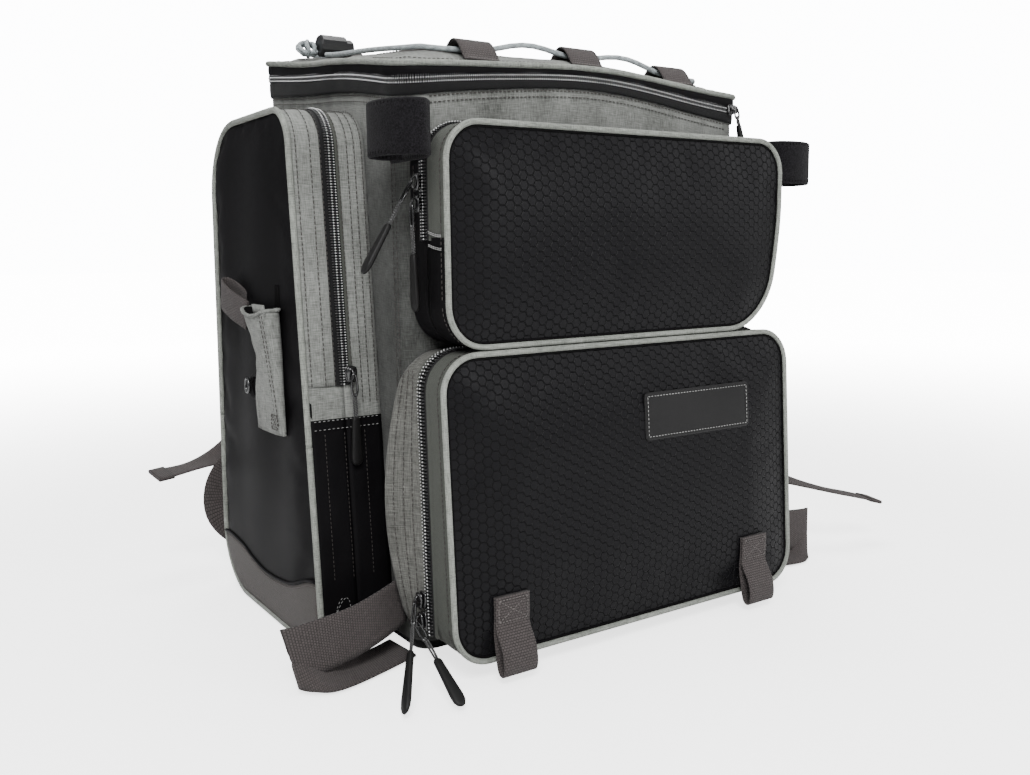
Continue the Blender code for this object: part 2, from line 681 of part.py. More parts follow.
def rod_butt_loop(side, sign):
    """Wide webbing loop for a rod butt: it stands on edge, folds over and comes back along the ground."""
    route = [((-0.1735, -0.1260, 0.0460), (0.0, 0.0, 1.0)),
             ((-0.1950, -0.1340, 0.0415), (0.0, 0.0, 1.0)),
             ((-0.2200, -0.1370, 0.0350), (0.0, 0.0, 1.0)),
             ((-0.2480, -0.1395, 0.0305), (0.0, 0.0, 1.0)),
             ((-0.2690, -0.1410, 0.0285), (0.0, -0.05, 1.0)),
             ((-0.2785, -0.1425, 0.0250), (0.10, -0.35, 0.92)),
             ((-0.2790, -0.1425, 0.0170), (0.25, -0.75, 0.60)),
             ((-0.2690, -0.1400, 0.0085), (0.28, -0.92, 0.28)),
             ((-0.2450, -0.1350, 0.0045), (0.28, -0.95, 0.08)),
             ((-0.1950, -0.1215, 0.0040), (0.28, -0.95, 0.04))]
    path = smooth_path([p for p, _ in route], 2)
    across = smooth_path([a for _, a in route], 2)
    if sign > 0:
        path = mirror_x(path)
        across = mirror_x(across)
    start = (sign * 0.1735, -0.1260, 0.0460)
    loft(f"rod_butt_loop_{side}", ribbon_loops(path, [tuple(a) for a in across], STRAP_W, WEB_T), WEBBING,
         origin=start)


def tool_holder():
    """Pliers sleeve and webbing loop on the left side cover."""
    hinge = (-SIDE_HINGE_X, 0.0, SIDE_FOLD_Z - 0.0005)
    face = -(SIDE_X + SIDE_CROWN + GAP)
    loops = []
    for z, half, depth, y in ((0.270, 0.028, 0.019, -0.029), (0.235, 0.025, 0.016, -0.031),
                              (0.171, 0.021, 0.011, -0.034)):
        outer = []
        inner = []
        for k in range(16):
            a = 2 * math.pi * k / 16
            c, s = math.cos(a), math.sin(a)
            u = math.copysign(abs(c) ** 0.7, c)
            v = math.copysign(abs(s) ** 0.7, s)
            outer.append((face - depth / 2 * (1 + v), y + half * u, z))
            inner.append((face - depth / 2 - (depth / 2 - 0.0018) * v, y + (half - 0.0018) * u, z))
        loops.append((outer, inner))
    rows = [o for o, _ in loops] + [i for _, i in reversed(loops)]
    loft("tool_sleeve", rows, HEATHER, ring=True, origin=hinge)
    route = [(face - 0.0012, 0.0035, 0.2600), (face - 0.0014, 0.0250, 0.2660), (face - 0.0030, 0.0480, 0.2740),
             (face - 0.0075, 0.0600, 0.2780), (face - 0.0130, 0.0560, 0.2760), (face - 0.0130, 0.0330, 0.2680),
             (face - 0.0095, 0.0035, 0.2600)]
    loft("tool_loop", ribbon_loops(smooth_path(route, 3), (0.0, -0.25, 1.0), 0.025, WEB_T), WEBBING, origin=hinge)


# ---------------------------------------------------------------- harness
STRAP_ROUTE = ((0.070, 0.1490, 0.4300), (0.076, 0.1580, 0.4120), (0.084, 0.1700, 0.3900),
               (0.093, 0.1780, 0.3600), (0.100, 0.1780, 0.3200), (0.105, 0.1780, 0.2800),
               (0.111, 0.1780, 0.2400), (0.122, 0.1740, 0.2050), (0.140, 0.1700, 0.1760))
LOCK_CENTRE = Vector((0.1535, 0.1685, 0.1615))
LOCK_DOWN = Vector((0.70, 0.0, -0.714))
LOCK_DOWN.normalize()


def shoulder_strap(side, sign):
    path = [Vector(p) for p in smooth_path(STRAP_ROUTE, 2)]
    loops = []
    for i, p in enumerate(path):
        ahead = path[min(i + 1, len(path) - 1)]
        behind = path[max(i - 1, 0)]
        t = (ahead - behind).normalized()
        side_dir = Vector((1.0, 0.0, 0.0))
        side_dir = (side_dir - t * side_dir.dot(t)).normalized()
        n = t.cross(side_dir)
        s = i / (len(path) - 1)
        half = STRAP_W_PAD / 2 * (1 - 0.45 * max(0.0, s - 0.75) / 0.25)
        full = STRAP_T / 2
        section = ((-1.0, 0.0), (-0.92, -0.8), (-0.6, -1.0), (0.6, -1.0), (0.92, -0.8), (1.0, 0.0),
                   (0.92, 0.8), (0.6, 1.0), (-0.6, 1.0), (-0.92, 0.8))
        ring = [p + side_dir * (half * u) + n * (full * v) for u, v in section]
        loops.append([(sign * q.x, q.y, q.z) for q in ring])
    loft(f"shoulder_strap_{side}", loops, MESH, origin=(0.0, *HARNESS_HINGE))


def lock_point(across, down, y):
    """A point given in the tilted plane of the right-hand buckle."""
    sideways = LOCK_DOWN.cross(Vector((0.0, 1.0, 0.0)))
    p = LOCK_CENTRE + sideways * across + LOCK_DOWN * down
    return (p.x, y, p.z)


def ladder_lock(side, sign):
    """Rectangular buckle with one opening; the webbing turns round its lower bar."""
    half = 0.0025
    y = LOCK_CENTRE.y
    outer = ((-0.017, -0.0110), (0.017, -0.0110), (0.017, 0.0110), (-0.017, 0.0110))
    inner = ((-0.0138, -0.0070), (0.0138, -0.0070), (0.0138, 0.0065), (-0.0138, 0.0065))
    rows = [[lock_point(u, v, yy) for u, v in ring] for ring, yy in
            ((outer, y - half), (outer, y + half), (inner, y + half), (inner, y - half))]
    if sign < 0:
        rows = [mirror_x(row) for row in rows]
    loft(f"ladder_lock_{side}", rows, PLASTIC, ring=True, origin=(0.0, *HARNESS_HINGE))


# Lower webbing, right-hand side: from the body's bottom corner round to the buckle.
WEB_LOW = ((0.1640, 0.1425, 0.0270), (0.1900, 0.1490, 0.0290), (0.2140, 0.1550, 0.0390),
           (0.2290, 0.1590, 0.0600), (0.2270, 0.1610, 0.0870), (0.2080, 0.1620, 0.1120))
WEB_TURN = ((0.0330, 0.1625), (0.0120, 0.1634), (0.0040, 0.1636), (0.0004, 0.1655), (-0.0010, 0.1687),
            (0.0004, 0.1719), (0.0040, 0.1738), (0.0120, 0.1742))
TAIL_LEFT = (((0.1960, 0.1755, 0.1260), 0.2), ((0.2200, 0.1740, 0.1130), 0.6), ((0.2500, 0.1690, 0.1060), 0.9),
             ((0.2860, 0.1620, 0.1030), 0.8))
TAIL_RIGHT = (((0.2000, 0.1770, 0.1300), 0.2), ((0.2380, 0.1660, 0.1180), 0.3), ((0.2560, 0.1240, 0.1090), 0.5),
              ((0.2620, 0.0600, 0.0990), 0.5), ((0.2620, 0.0000, 0.0900), 0.5), ((0.2660, -0.0600, 0.0800), 0.6),
              ((0.2800, -0.1040, 0.0710), 0.8), ((0.3080, -0.1340, 0.0615), 0.9), ((0.3400, -0.1450, 0.0530), 0.9),
              ((0.3680, -0.1500, 0.0450), 0.9))


def strap_web(side, sign, tail):
    """One length of webbing: sewn at the corner, round the buckle's bar, then a free tail.

    Its flat face looks backwards, and it twists towards the horizontal along the tail.
    """
    route = [(p, 0.0) for p in WEB_LOW] + [(lock_point(0.0, v, y), 0.0) for v, y in WEB_TURN] + list(tail)
    path = [Vector(p) for p in smooth_path([p for p, _ in route], 2)]
    twist = [p.x for p in smooth_path([(t, 0.0, 0.0) for _, t in route], 2)]
    turn_start = 2 * len(WEB_LOW)
    turn_end = turn_start + 2 * (len(WEB_TURN) - 1)
    sideways = LOCK_DOWN.cross(Vector((0.0, 1.0, 0.0)))
    across = []
    for i, p in enumerate(path):
        if turn_start <= i <= turn_end:
            across.append(tuple(sideways))
            continue
        ahead = path[min(i + 1, len(path) - 1)]
        behind = path[max(i - 1, 0)]
        flat = (ahead - behind).normalized().cross(Vector((0.0, 1.0, 0.0)))
        if flat.dot(Vector(across[-1]) if across else flat) < 0:
            flat = -flat
        level = Vector((0.0, 1.0, 0.0))
        if across and level.dot(Vector(across[-1])) < 0:
            level = -level
        across.append(tuple(flat.normalized() * (1 - twist[i]) + level * twist[i]))
    points = [tuple(p) for p in path]
    if sign < 0:
        points = mirror_x(points)
        across = mirror_x(across)
    loft(f"strap_web_{side}", ribbon_loops(points, across, 0.025, WEB_T), WEBBING, origin=(0.0, *HARNESS_HINGE))


def harness():
    shoulder_strap("left", -1)
    shoulder_strap("right", 1)
    ladder_lock("left", -1)
    ladder_lock("right", 1)
    strap_web("left", -1, TAIL_LEFT)
    strap_web("right", 1, TAIL_RIGHT)
    sternum = (0.0, STERNUM_Y, STERNUM_Z)
    y0 = STERNUM_Y
    y1 = STERNUM_Y + 0.0015
    lo, hi = STERNUM_Z - 0.010, STERNUM_Z + 0.010
    loft("sternum_web_left", slab((-0.122, y0, lo), (-0.008, y1, hi)), WEBBING, origin=sternum)
    loft("sternum_web_right", slab((0.009, y0, lo), (0.122, y1, hi)), WEBBING, origin=sternum)
    corners = ((y1 + GAP, STERNUM_Z - 0.0140), (y1 + GAP + 0.0085, STERNUM_Z - 0.0140),
               (y1 + GAP + 0.0085, STERNUM_Z + 0.0140), (y1 + GAP, STERNUM_Z + 0.0140))
    outer = rounded(corners, (0.0025,) * 4, 3)
    inner = rounded(corners, (0.0025,) * 4, 3, 0.0016)
    loft("sternum_buckle_socket", [[(-0.024, y, z) for y, z in outer], [(0.010, y, z) for y, z in outer],
                                   [(0.010, y, z) for y, z in inner], [(-0.018, y, z) for y, z in inner]],
         PLASTIC, origin=sternum)
    mid = y1 + GAP + 0.00425
    plan = ((0.0105, -0.0135), (0.0340, -0.0135), (0.0340, 0.0135), (0.0105, 0.0135), (0.0105, 0.0100),
            (-0.0080, 0.0100), (-0.0100, 0.0085), (-0.0100, 0.0065), (0.0060, 0.0055), (0.0060, -0.0055),
            (-0.0100, -0.0065), (-0.0100, -0.0085), (-0.0080, -0.0100), (0.0105, -0.0100))
    loft("sternum_buckle_prong", [[(x, y, STERNUM_Z + z) for x, z in plan] for y in (mid - 0.0022, mid + 0.0022)],
         PLASTIC, origin=(0.0105, mid, STERNUM_Z))


# ---------------------------------------------------------------- the object
def clear_scene():
    for obj in list(bpy.data.objects):
        bpy.data.objects.remove(obj, do_unlink=True)


def build():
    clear_scene()
    main_body()
    back_panel()
    lid()
    lid_fittings()
    carry_handle()
    front_pockets()
    low_pocket_trim()
    side_pockets()
    rod_strap("left", -1, 0.040)
    rod_strap("right", 1, 0.058)
    rod_butt_loop("left", -1)
    rod_butt_loop("right", 1)
    tool_holder()
    harness()
    # The lid's one slider is parked at the front corner; its cord pull hangs over the body.
    z = ZIP[0] + 0.0005
    slider("lid_slider", (0.156, -HALF_D - 0.0040, z), (0.0120, 0.0052, 0.0090))
    pull("lid_pull", (0.156, -HALF_D - 0.0090, z), (0.163, -HALF_D - 0.0090, z - 0.030), (1.0, 0.0, 0.0))


build()
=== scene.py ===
"""Looks for the tackle backpack: fabric, stitching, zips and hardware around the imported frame."""
import math

import bpy
import numpy as np
from mathutils import Matrix, Vector, noise


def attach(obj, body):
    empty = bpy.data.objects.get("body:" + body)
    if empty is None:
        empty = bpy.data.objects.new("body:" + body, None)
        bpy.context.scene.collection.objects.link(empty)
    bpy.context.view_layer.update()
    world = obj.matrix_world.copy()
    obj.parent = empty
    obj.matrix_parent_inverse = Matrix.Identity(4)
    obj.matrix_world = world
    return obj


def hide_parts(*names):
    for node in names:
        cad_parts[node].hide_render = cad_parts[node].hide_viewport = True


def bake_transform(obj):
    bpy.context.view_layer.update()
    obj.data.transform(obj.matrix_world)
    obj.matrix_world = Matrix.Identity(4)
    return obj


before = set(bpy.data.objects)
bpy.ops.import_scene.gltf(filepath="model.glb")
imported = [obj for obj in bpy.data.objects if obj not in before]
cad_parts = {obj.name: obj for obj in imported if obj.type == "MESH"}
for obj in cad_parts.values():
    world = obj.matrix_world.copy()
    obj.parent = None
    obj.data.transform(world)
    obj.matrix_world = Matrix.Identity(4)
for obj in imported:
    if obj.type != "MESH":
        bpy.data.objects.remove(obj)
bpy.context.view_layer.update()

# ---------------------------------------------------------------- dimensions shared with the frame
HALF_W, HALF_D, BODY_R = 0.170, 0.138, 0.022
RIM, ZIP, LID = (0.4217, 0.4532), (0.4310, 0.4687), (0.4440, 0.4830)
LID_CROWN, LID_REACH = 0.008, 0.060
TOP_X, TOP_Z, TOP_ZIP_Y, TOP_FACE_Y = 0.166, (0.242, 0.3995), -0.160, -0.188
TOP_RADII = (0.030, 0.045, 0.027, 0.027)
TOP_TAPER, TOP_TAPER_Z = 0.016, 0.345
LOW_X, LOW_Z, LOW_ZIP_Y, LOW_FACE_Y = 0.174, (0.015, 0.238), (-0.170, -0.163), (-0.203, -0.190)
LOW_RADII = (0.028,) * 4
LOW_FLARE, BELLY_POWER = 0.020, 1.6
PANEL_CROWN, PANEL_REACH = 0.008, 0.055
SIDE_X, SIDE_ZIP_X = 0.230, 0.2005
SIDE_OUTLINE = ((-0.101, 0.003), (0.129, 0.003), (0.107, 0.418), (-0.070, 0.418))
SIDE_RADII = (0.020, 0.055, 0.062, 0.030)
SIDE_ZIP_END_Z, SIDE_FOLD_Z, SIDE_CROWN = 0.2075, 0.160, 0.003
PIPING_R, WEB_T = 0.0022, 0.0015
WRINKLE_REACH = 0.030
BODY_CORNERS = ((-HALF_W, -HALF_D), (HALF_W, -HALF_D), (HALF_W, HALF_D), (-HALF_W, HALF_D))
TOP_CORNERS = ((-TOP_X, TOP_Z[0]), (TOP_X, TOP_Z[0]), (TOP_X, TOP_Z[1]), (-TOP_X, TOP_Z[1]))
LOW_CORNERS = ((-LOW_X, LOW_Z[0]), (LOW_X, LOW_Z[0]), (LOW_X, LOW_Z[1]), (-LOW_X, LOW_Z[1]))
X, Y, Z = Vector((1, 0, 0)), Vector((0, 1, 0)), Vector((0, 0, 1))


# ---------------------------------------------------------------- materials
class Look:
    """Adds shader nodes to one material; fabric coordinates are UVs in metres."""

    def __init__(self, name, colour, roughness, metallic=0.0, sheen=0.0, specular=0.5, coat=0.0):
        self.mat = bpy.data.materials.new(name)
        self.mat.use_nodes = True
        self.tree = self.mat.node_tree
        self.shader = self.tree.nodes["Principled BSDF"]
        for key, value in (("Base Color", (*colour, 1)), ("Roughness", roughness), ("Metallic", metallic),
                           ("Sheen Weight", sheen), ("Specular IOR Level", specular), ("Coat Weight", coat)):
            self.shader.inputs[key].default_value = value

    def add(self, kind, inputs=(), **settings):
        node = self.tree.nodes.new(kind)
        for key, value in settings.items():
            setattr(node, key, value)
        for key, value in dict(inputs).items():
            if isinstance(value, bpy.types.NodeSocket):
                self.tree.links.new(value, node.inputs[key])
            else:
                node.inputs[key].default_value = value
        return node

    def place(self, scale, source="UV"):
        coords = self.add("ShaderNodeTexCoord")
        return self.vector("MULTIPLY", coords.outputs[source], scale)

    def vector(self, op, a, b=(0, 0, 0), out="Vector"):
        return self.add("ShaderNodeVectorMath", {0: a, 1: b}, operation=op).outputs[out]

    def math(self, op, a, b=0.0, clamp=False):
        return self.add("ShaderNodeMath", {0: a, 1: b}, operation=op, use_clamp=clamp).outputs[0]

    def noise(self, scale, detail=2.0, source="UV"):
        return self.add("ShaderNodeTexNoise", {"Vector": self.place(scale, source), "Scale": 1.0,
                                               "Detail": detail}).outputs["Fac"]

    def ramp(self, value, stops):
        node = self.add("ShaderNodeValToRGB", {0: value})
        band = node.color_ramp
        while len(band.elements) < len(stops):
            band.elements.new(0.5)
        for element, (at, colour) in zip(band.elements, stops):
            element.position = at
            element.color = (*colour, 1) if hasattr(colour, "__len__") else (colour, colour, colour, 1)
        return node.outputs[0]

    def colour(self, socket):
        self.tree.links.new(socket, self.shader.inputs["Base Color"])

    def rough(self, value, low, high):
        node = self.add("ShaderNodeMapRange", {0: value, 3: low, 4: high})
        self.tree.links.new(node.outputs[0], self.shader.inputs["Roughness"])

    def bump(self, height, distance, strength=1.0):
        node = self.add("ShaderNodeBump", {"Height": height, "Distance": distance, "Strength": strength})
        self.tree.links.new(node.outputs[0], self.shader.inputs["Normal"])


def heather(name, dark, mid, light, weave=1.0, shade=None):
    """Mottled grey cloth. shade is painted shade: two heights and the share of the colour kept at each of them,
    which darkens the cloth below the lower height.
    """
    look = Look(name, mid, 0.9, sheen=0.05, specular=0.2)
    warp = look.noise((1250, 130, 1), 3)
    weft = look.noise((105, 1350, 1), 3)
    speck = look.noise((1500, 1500, 1), 2)
    threads = look.math("ADD", look.math("MULTIPLY", warp, 0.45), look.math("MULTIPLY", weft, 0.40))
    threads = look.math("ADD", threads, look.math("MULTIPLY", speck, 0.15 * weave))
    blotch = look.math("ADD", look.noise((9, 9, 9), 3, "Object"), look.noise((38, 38, 30), 2, "Object"))
    stain = look.math("MULTIPLY", look.math("SUBTRACT", blotch, 1.0), 0.34 if shade else 0.15)
    mixed = look.math("ADD", threads, stain)
    tint = look.ramp(mixed, ((0.34, dark), (0.49, mid), (0.64, light)))
    # Painted shade: the colour is scaled down below the given heights, so the cloth is darker lower down.
    if shade:
        height = look.add("ShaderNodeSeparateXYZ", {0: look.place((1, 1, 1), "Object")}).outputs[2]
        low_z, high_z, dark_share, full_share = shade
        share = look.add("ShaderNodeMapRange", {0: height, 1: low_z, 2: high_z, 3: dark_share, 4: full_share},
                         interpolation_type="SMOOTHSTEP").outputs[0]
        tint = look.add("ShaderNodeVectorMath", {0: tint, "Scale": share}, operation="SCALE").outputs[0]
    look.colour(tint)
    look.bump(look.math("ADD", threads, look.math("MULTIPLY", speck, 0.5)), 0.0004, 0.6)
    return look.mat


def plain(name, colour, roughness, grain=900, depth=0.00015, wear=0.25, specular=0.5, coat=0.0, metallic=0.0):
    look = Look(name, colour, roughness, metallic, specular=specular, coat=coat)
    cloud = look.noise((14, 14, 14), 3, "Object")
    darker = tuple(c * (1 - wear) for c in colour)
    lighter = tuple(c * (1 + wear) for c in colour)
    look.colour(look.ramp(cloud, ((0.3, darker), (0.7, lighter))))
    look.rough(cloud, roughness - 0.06, roughness + 0.08)
    look.bump(look.noise((grain, grain, grain), 2, "Object"), depth, 0.6)
    return look.mat


def hexagons(name):
    """Flat-topped embossed hexagons with narrow grooves, coloured darker than the cell tops as painted shade."""
    size = 0.0072
    look = Look(name, (0.002, 0.002, 0.0024), 0.42, specular=0.11)
    pitch = (size * math.sqrt(3), size, 1.0)
    half = tuple(c / 2 for c in pitch)
    coords = look.place((1, 1, 0))
    cells = []
    for shift in (50.0, 50.5):
        moved = look.vector("ADD", coords, (pitch[0] * shift, pitch[1] * shift, 0.5))
        cells.append(look.vector("SUBTRACT", look.vector("MODULO", moved, pitch), half))
    nearer = look.math("LESS_THAN", look.vector("LENGTH", cells[0], out="Value"),
                       look.vector("LENGTH", cells[1], out="Value"))
    both = look.add("ShaderNodeCombineXYZ", {0: nearer, 1: nearer, 2: nearer}).outputs[0]
    chosen = look.vector("ADD", cells[1], look.vector(
        "MULTIPLY", look.vector("SUBTRACT", cells[0], cells[1]), both))
    parts = look.add("ShaderNodeSeparateXYZ", {0: look.vector("ABSOLUTE", chosen)})
    slanted = look.math("ADD", look.math("MULTIPLY", parts.outputs[1], 0.5),
                        look.math("MULTIPLY", parts.outputs[0], math.sqrt(0.75)))
    edge = look.math("DIVIDE", look.math("MAXIMUM", parts.outputs[1], slanted), size / 2)
    rise = look.add("ShaderNodeMapRange", {0: edge, 1: 0.99, 2: 0.80, 3: 0.0, 4: 1.0},
                    interpolation_type="SMOOTHSTEP").outputs[0]
    grain = look.noise((2600, 2600, 1), 2)
    shade = look.math("ADD", look.math("MULTIPLY", rise, 0.8), look.math("MULTIPLY", grain, 0.25))
    # Painted shade: the ramp colours the grooves darker than the raised cells.
    look.colour(look.ramp(shade, ((0.05, (0.0006, 0.0006, 0.0008)), (0.75, (0.0013, 0.0012, 0.0016)),
                                  (1.0, (0.0034, 0.0032, 0.0040)))))
    look.rough(rise, 0.60, 0.40)
    look.bump(look.math("ADD", rise, look.math("MULTIPLY", grain, 0.08)), 0.0006, 0.9)
    return look.mat


def woven(name, colour, across, along, depth=0.0005, contrast=0.45, roughness=0.85, offset=0.5):
    """Webbing or another coarse weave: staggered floats across the strip."""
    look = Look(name, colour, roughness, sheen=0.04, specular=0.2)
    shade = tuple(c * contrast for c in colour)
    bricks = look.add("ShaderNodeTexBrick", {
        "Vector": look.place((1, 1, 1)), "Scale": 1.0, "Color1": (1, 1, 1, 1), "Color2": (0.78, 0.78, 0.78, 1),
        "Mortar": (0, 0, 0, 1), "Mortar Size": 0.22 * min(across, along), "Mortar Smooth": 1.0,
        "Brick Width": along, "Row Height": across}, offset=offset, squash=1.0)
    grey = look.add("ShaderNodeRGBToBW", {0: bricks.outputs["Color"]}).outputs[0]
    mottled = look.math("ADD", look.math("MULTIPLY", grey, 0.8),
                        look.math("MULTIPLY", look.noise((300, 300, 1)), 0.35))
    look.colour(look.ramp(mottled, ((0.1, shade), (1.0, tuple(c * 1.25 for c in colour)))))
    look.bump(grey, depth, 0.8)
    return look.mat


def braided(name, base, fleck):
    look = Look(name, base, 0.7, sheen=0.2)
    twist = look.add("ShaderNodeTexWave", {"Vector": look.place((520, 330, 1)), "Scale": 1.0, "Distortion": 0.4},
                     bands_direction="DIAGONAL").outputs["Fac"]
    fine = look.noise((420, 260, 1), 1)
    look.colour(look.ramp(look.math("ADD", look.math("MULTIPLY", twist, 0.35), look.math("MULTIPLY", fine, 0.65)),
                          ((0.35, fleck), (0.48, base), (0.8, tuple(c * 1.1 for c in base)))))
    look.bump(twist, 0.0004, 0.8)
    return look.mat


def mesh_cloth(name, colour, cell):
    look = Look(name, colour, 0.92, sheen=0.1, specular=0.2)
    dots = look.add("ShaderNodeTexVoronoi", {"Vector": look.place((1 / cell, 1 / cell, 1)), "Scale": 1.0,
                                             "Randomness": 0.15}).outputs["Distance"]
    look.colour(look.ramp(dots, ((0.12, tuple(c * 0.2 for c in colour)), (0.5, colour))))
    look.bump(dots, 0.0007, 0.9)
    return look.mat


def fuzz(name, colour):
    look = Look(name, colour, 0.95, sheen=0.03, specular=0.1)
    curl = look.noise((1100, 1100, 1100), 3, "Object")
    look.colour(look.ramp(curl, ((0.38, tuple(c * 0.35 for c in colour)),
                                 (0.62, tuple(c * 2.6 for c in colour)))))
    look.bump(curl, 0.0008, 0.9)
    return look.mat


GREY = heather("heather_grey", (0.060, 0.062, 0.057), (0.125, 0.129, 0.120), (0.200, 0.205, 0.194))
# Body heather with painted shade: darkened to about a third below z 0.36, and kept at 0.92 above z 0.43.
GREY_BODY_SHADED = heather("heather_body_painted_shade", (0.060, 0.062, 0.057), (0.125, 0.129, 0.120), (0.200, 0.205, 0.194),
                    shade=(0.36, 0.43, 0.34 * 0.92, 0.92))
# A darker copy of the heather, at about half its colour: painted shade for the low pocket's gusset.
GREY_LOW_SHADED = heather("heather_low_painted_shade", (0.030, 0.030, 0.027), (0.068, 0.068, 0.062), (0.120, 0.120, 0.110))
PIPE = heather("piping_grey", (0.050, 0.054, 0.046), (0.125, 0.133, 0.118), (0.215, 0.224, 0.204), 1.6)
COATED = plain("coated_black", (0.0036, 0.0033, 0.0038), 0.55, grain=1300, depth=0.0001, specular=0.05)
# Black for linings, and also painted shade: the shadow line inside the pocket piping and the dark sleeve opening.
SHADOW = plain("black_lining_and_shade", (0.0030, 0.0028, 0.0030), 0.8, grain=700, specular=0.04)
HEX = hexagons("hexagon_emboss")
WEB = woven("webbing_charcoal", (0.046, 0.039, 0.038), 0.0020, 0.0024, depth=0.0006, contrast=0.28)
BOOT = woven("boot_emboss", (0.050, 0.044, 0.041), 0.0022, 0.0050, depth=0.0006, contrast=0.38, roughness=0.7)
TAPE = woven("zip_tape_grey", (0.046, 0.049, 0.042), 0.0007, 0.0016, depth=0.0002, contrast=0.6)
TAPE_BLACK = woven("zip_tape_black", (0.0036, 0.0036, 0.0040), 0.0007, 0.0016, depth=0.0002, contrast=0.6)
COIL = plain("zip_coil", (0.006, 0.006, 0.0065), 0.30, grain=200, depth=0.00002, specular=0.6)
# Painted highlight: pale metal for the small dots that stand in for glints on the zip coils.
GLEAM = plain("zip_gleam", (0.55, 0.55, 0.55), 0.30, grain=200, depth=0.00002, metallic=0.6)
PAINT = plain("slider_paint", (0.005, 0.005, 0.0055), 0.26, grain=300, depth=0.00003, specular=0.7, coat=0.3)
RUBBER = plain("rubber_grip", (0.0045, 0.0043, 0.0043), 0.5, grain=1500, depth=0.00008, specular=0.18)
PLASTIC = plain("moulded_black", (0.0042, 0.0042, 0.0046), 0.34, grain=900, depth=0.00004)
FUZZ = fuzz("hook_and_loop", (0.0034, 0.0031, 0.0037))
MESH = mesh_cloth("air_mesh", (0.018, 0.018, 0.019), 0.0036)
BUNGEE = braided("bungee_braid", (0.34, 0.38, 0.39), (0.05, 0.055, 0.06))
CORD = braided("pull_cord", (0.0055, 0.0055, 0.0055), (0.003, 0.003, 0.003))
DARK_THREAD = plain("thread_dark", (0.024, 0.020, 0.018), 0.7, grain=2000)
PALE_THREAD = plain("thread_pale", (0.20, 0.20, 0.195), 0.7, grain=2000)
WEB_THREAD = plain("thread_webbing", (0.085, 0.075, 0.072), 0.7, grain=2000)
LABEL = plain("label_rubber", (0.0050, 0.0048, 0.0050), 0.45, grain=500, depth=0.0001, specular=0.2)
BASE = woven("base_cloth", (0.005, 0.005, 0.0055), 0.0018, 0.0018, depth=0.0003, roughness=0.6)


# ---------------------------------------------------------------- outlines and paths
def lerp(pair, t):
    return pair[0] + (pair[1] - pair[0]) * t


def along_depth(heights, y):
    return lerp(heights, (y + HALF_D) / (2 * HALF_D))


def crown(d, height, reach):
    s = 1 - min(max(d, 0.0), reach) / reach
    return height * (1 - s * s)


def top_taper(x, z):
    """How far the right side of the upper pocket draws in towards its foot."""
    drop = max(TOP_TAPER_Z - z, 0.0) / (TOP_TAPER_Z - TOP_Z[0])
    return TOP_TAPER * drop ** 1.5 * max(x, 0.0) / TOP_X


def low_t(z):
    return (z - LOW_Z[0]) / (LOW_Z[1] - LOW_Z[0])


def low_zip_y(z):
    return lerp(LOW_ZIP_Y, low_t(z))


def low_face_y(x, z):
    d = min(LOW_X - abs(x), z - LOW_Z[0], LOW_Z[1] - z)
    return lerp(LOW_FACE_Y, low_t(z)) - crown(d, PANEL_CROWN, PANEL_REACH)


def low_belly(y, z):
    share = max((y - low_zip_y(z)) / (-HALF_D - low_zip_y(z)), 0.0)
    return LOW_FLARE * math.sin(math.pi * min(max(low_t(z), 0.0), 1.0)) * share ** BELLY_POWER


def lid_height(x, y):
    inset = min(HALF_W - abs(x), HALF_D - abs(y))
    return along_depth(LID, y) + crown(inset, LID_CROWN, LID_REACH) + top_rise(x, y)


def ripple(p, size, seed=0.0):
    return noise.noise(Vector((p[0] / size + seed, p[1] / size - seed, p[2] / size + 2 * seed)))


def rounded(corners, radii, steps=10, inset=0.0):
    pts = []
    ring = []
    count = len(corners)
    for i in range(count):
        a = (Vector(corners[i]) - Vector(corners[i - 1])).normalized()
        b = (Vector(corners[(i + 1) % count]) - Vector(corners[i])).normalized()
        bisector = Vector((-a.y - b.y, a.x + b.x))
        ring.append(Vector(corners[i]) + bisector * (inset / bisector.dot(Vector((-a.y, a.x)))))
    for i in range(count):
        q = ring[i]
        to_p = (ring[i - 1] - q).normalized()
        to_r = (ring[(i + 1) % count] - q).normalized()
        half = math.acos(max(-1.0, min(1.0, to_p.dot(to_r)))) / 2
        radius = max(radii[i] - inset, 0.0015)
        centre = q + (to_p + to_r).normalized() * (radius / math.sin(half))
        start = q + to_p * (radius / math.tan(half)) - centre
        end = q + to_r * (radius / math.tan(half)) - centre
        a0 = math.atan2(start.y, start.x)
        sweep = (math.atan2(end.y, end.x) - a0 + math.pi) % (2 * math.pi) - math.pi
        for k in range(steps + 1):
            a = a0 + sweep * k / steps
            pts.append((centre.x + radius * math.cos(a), centre.y + radius * math.sin(a)))
    return pts


def resample(path, pitch, closed=False):
    pts = np.array([tuple(p) for p in path], float)
    if closed:
        pts = np.vstack([pts, pts[:1]])
    gaps = np.linalg.norm(np.diff(pts, axis=0), axis=1)
    at = np.concatenate([[0], np.cumsum(gaps)])
    n = max(2, int(round(at[-1] / pitch)))
    t = np.linspace(0, at[-1], n + 1)
    out = np.stack([np.interp(t, at, pts[:, k]) for k in range(pts.shape[1])], axis=1)
    return out[:-1] if closed else out


def headings(pts, closed=False):
    ahead = np.roll(pts, -1, axis=0)
    behind = np.roll(pts, 1, axis=0)
    if not closed:
        ahead[-1] = pts[-1]
        behind[0] = pts[0]
    d = ahead - behind
    return d / np.maximum(np.linalg.norm(d, axis=1, keepdims=True), 1e-9)


def outline(corners, radii, pitch, inset=0.0):
    """Evenly spaced ring and its outward normals."""
    pts = resample(rounded(corners, radii, 10, inset), pitch, True)
    t = headings(pts, True)
    return pts, np.stack([t[:, 1], -t[:, 0]], axis=1)


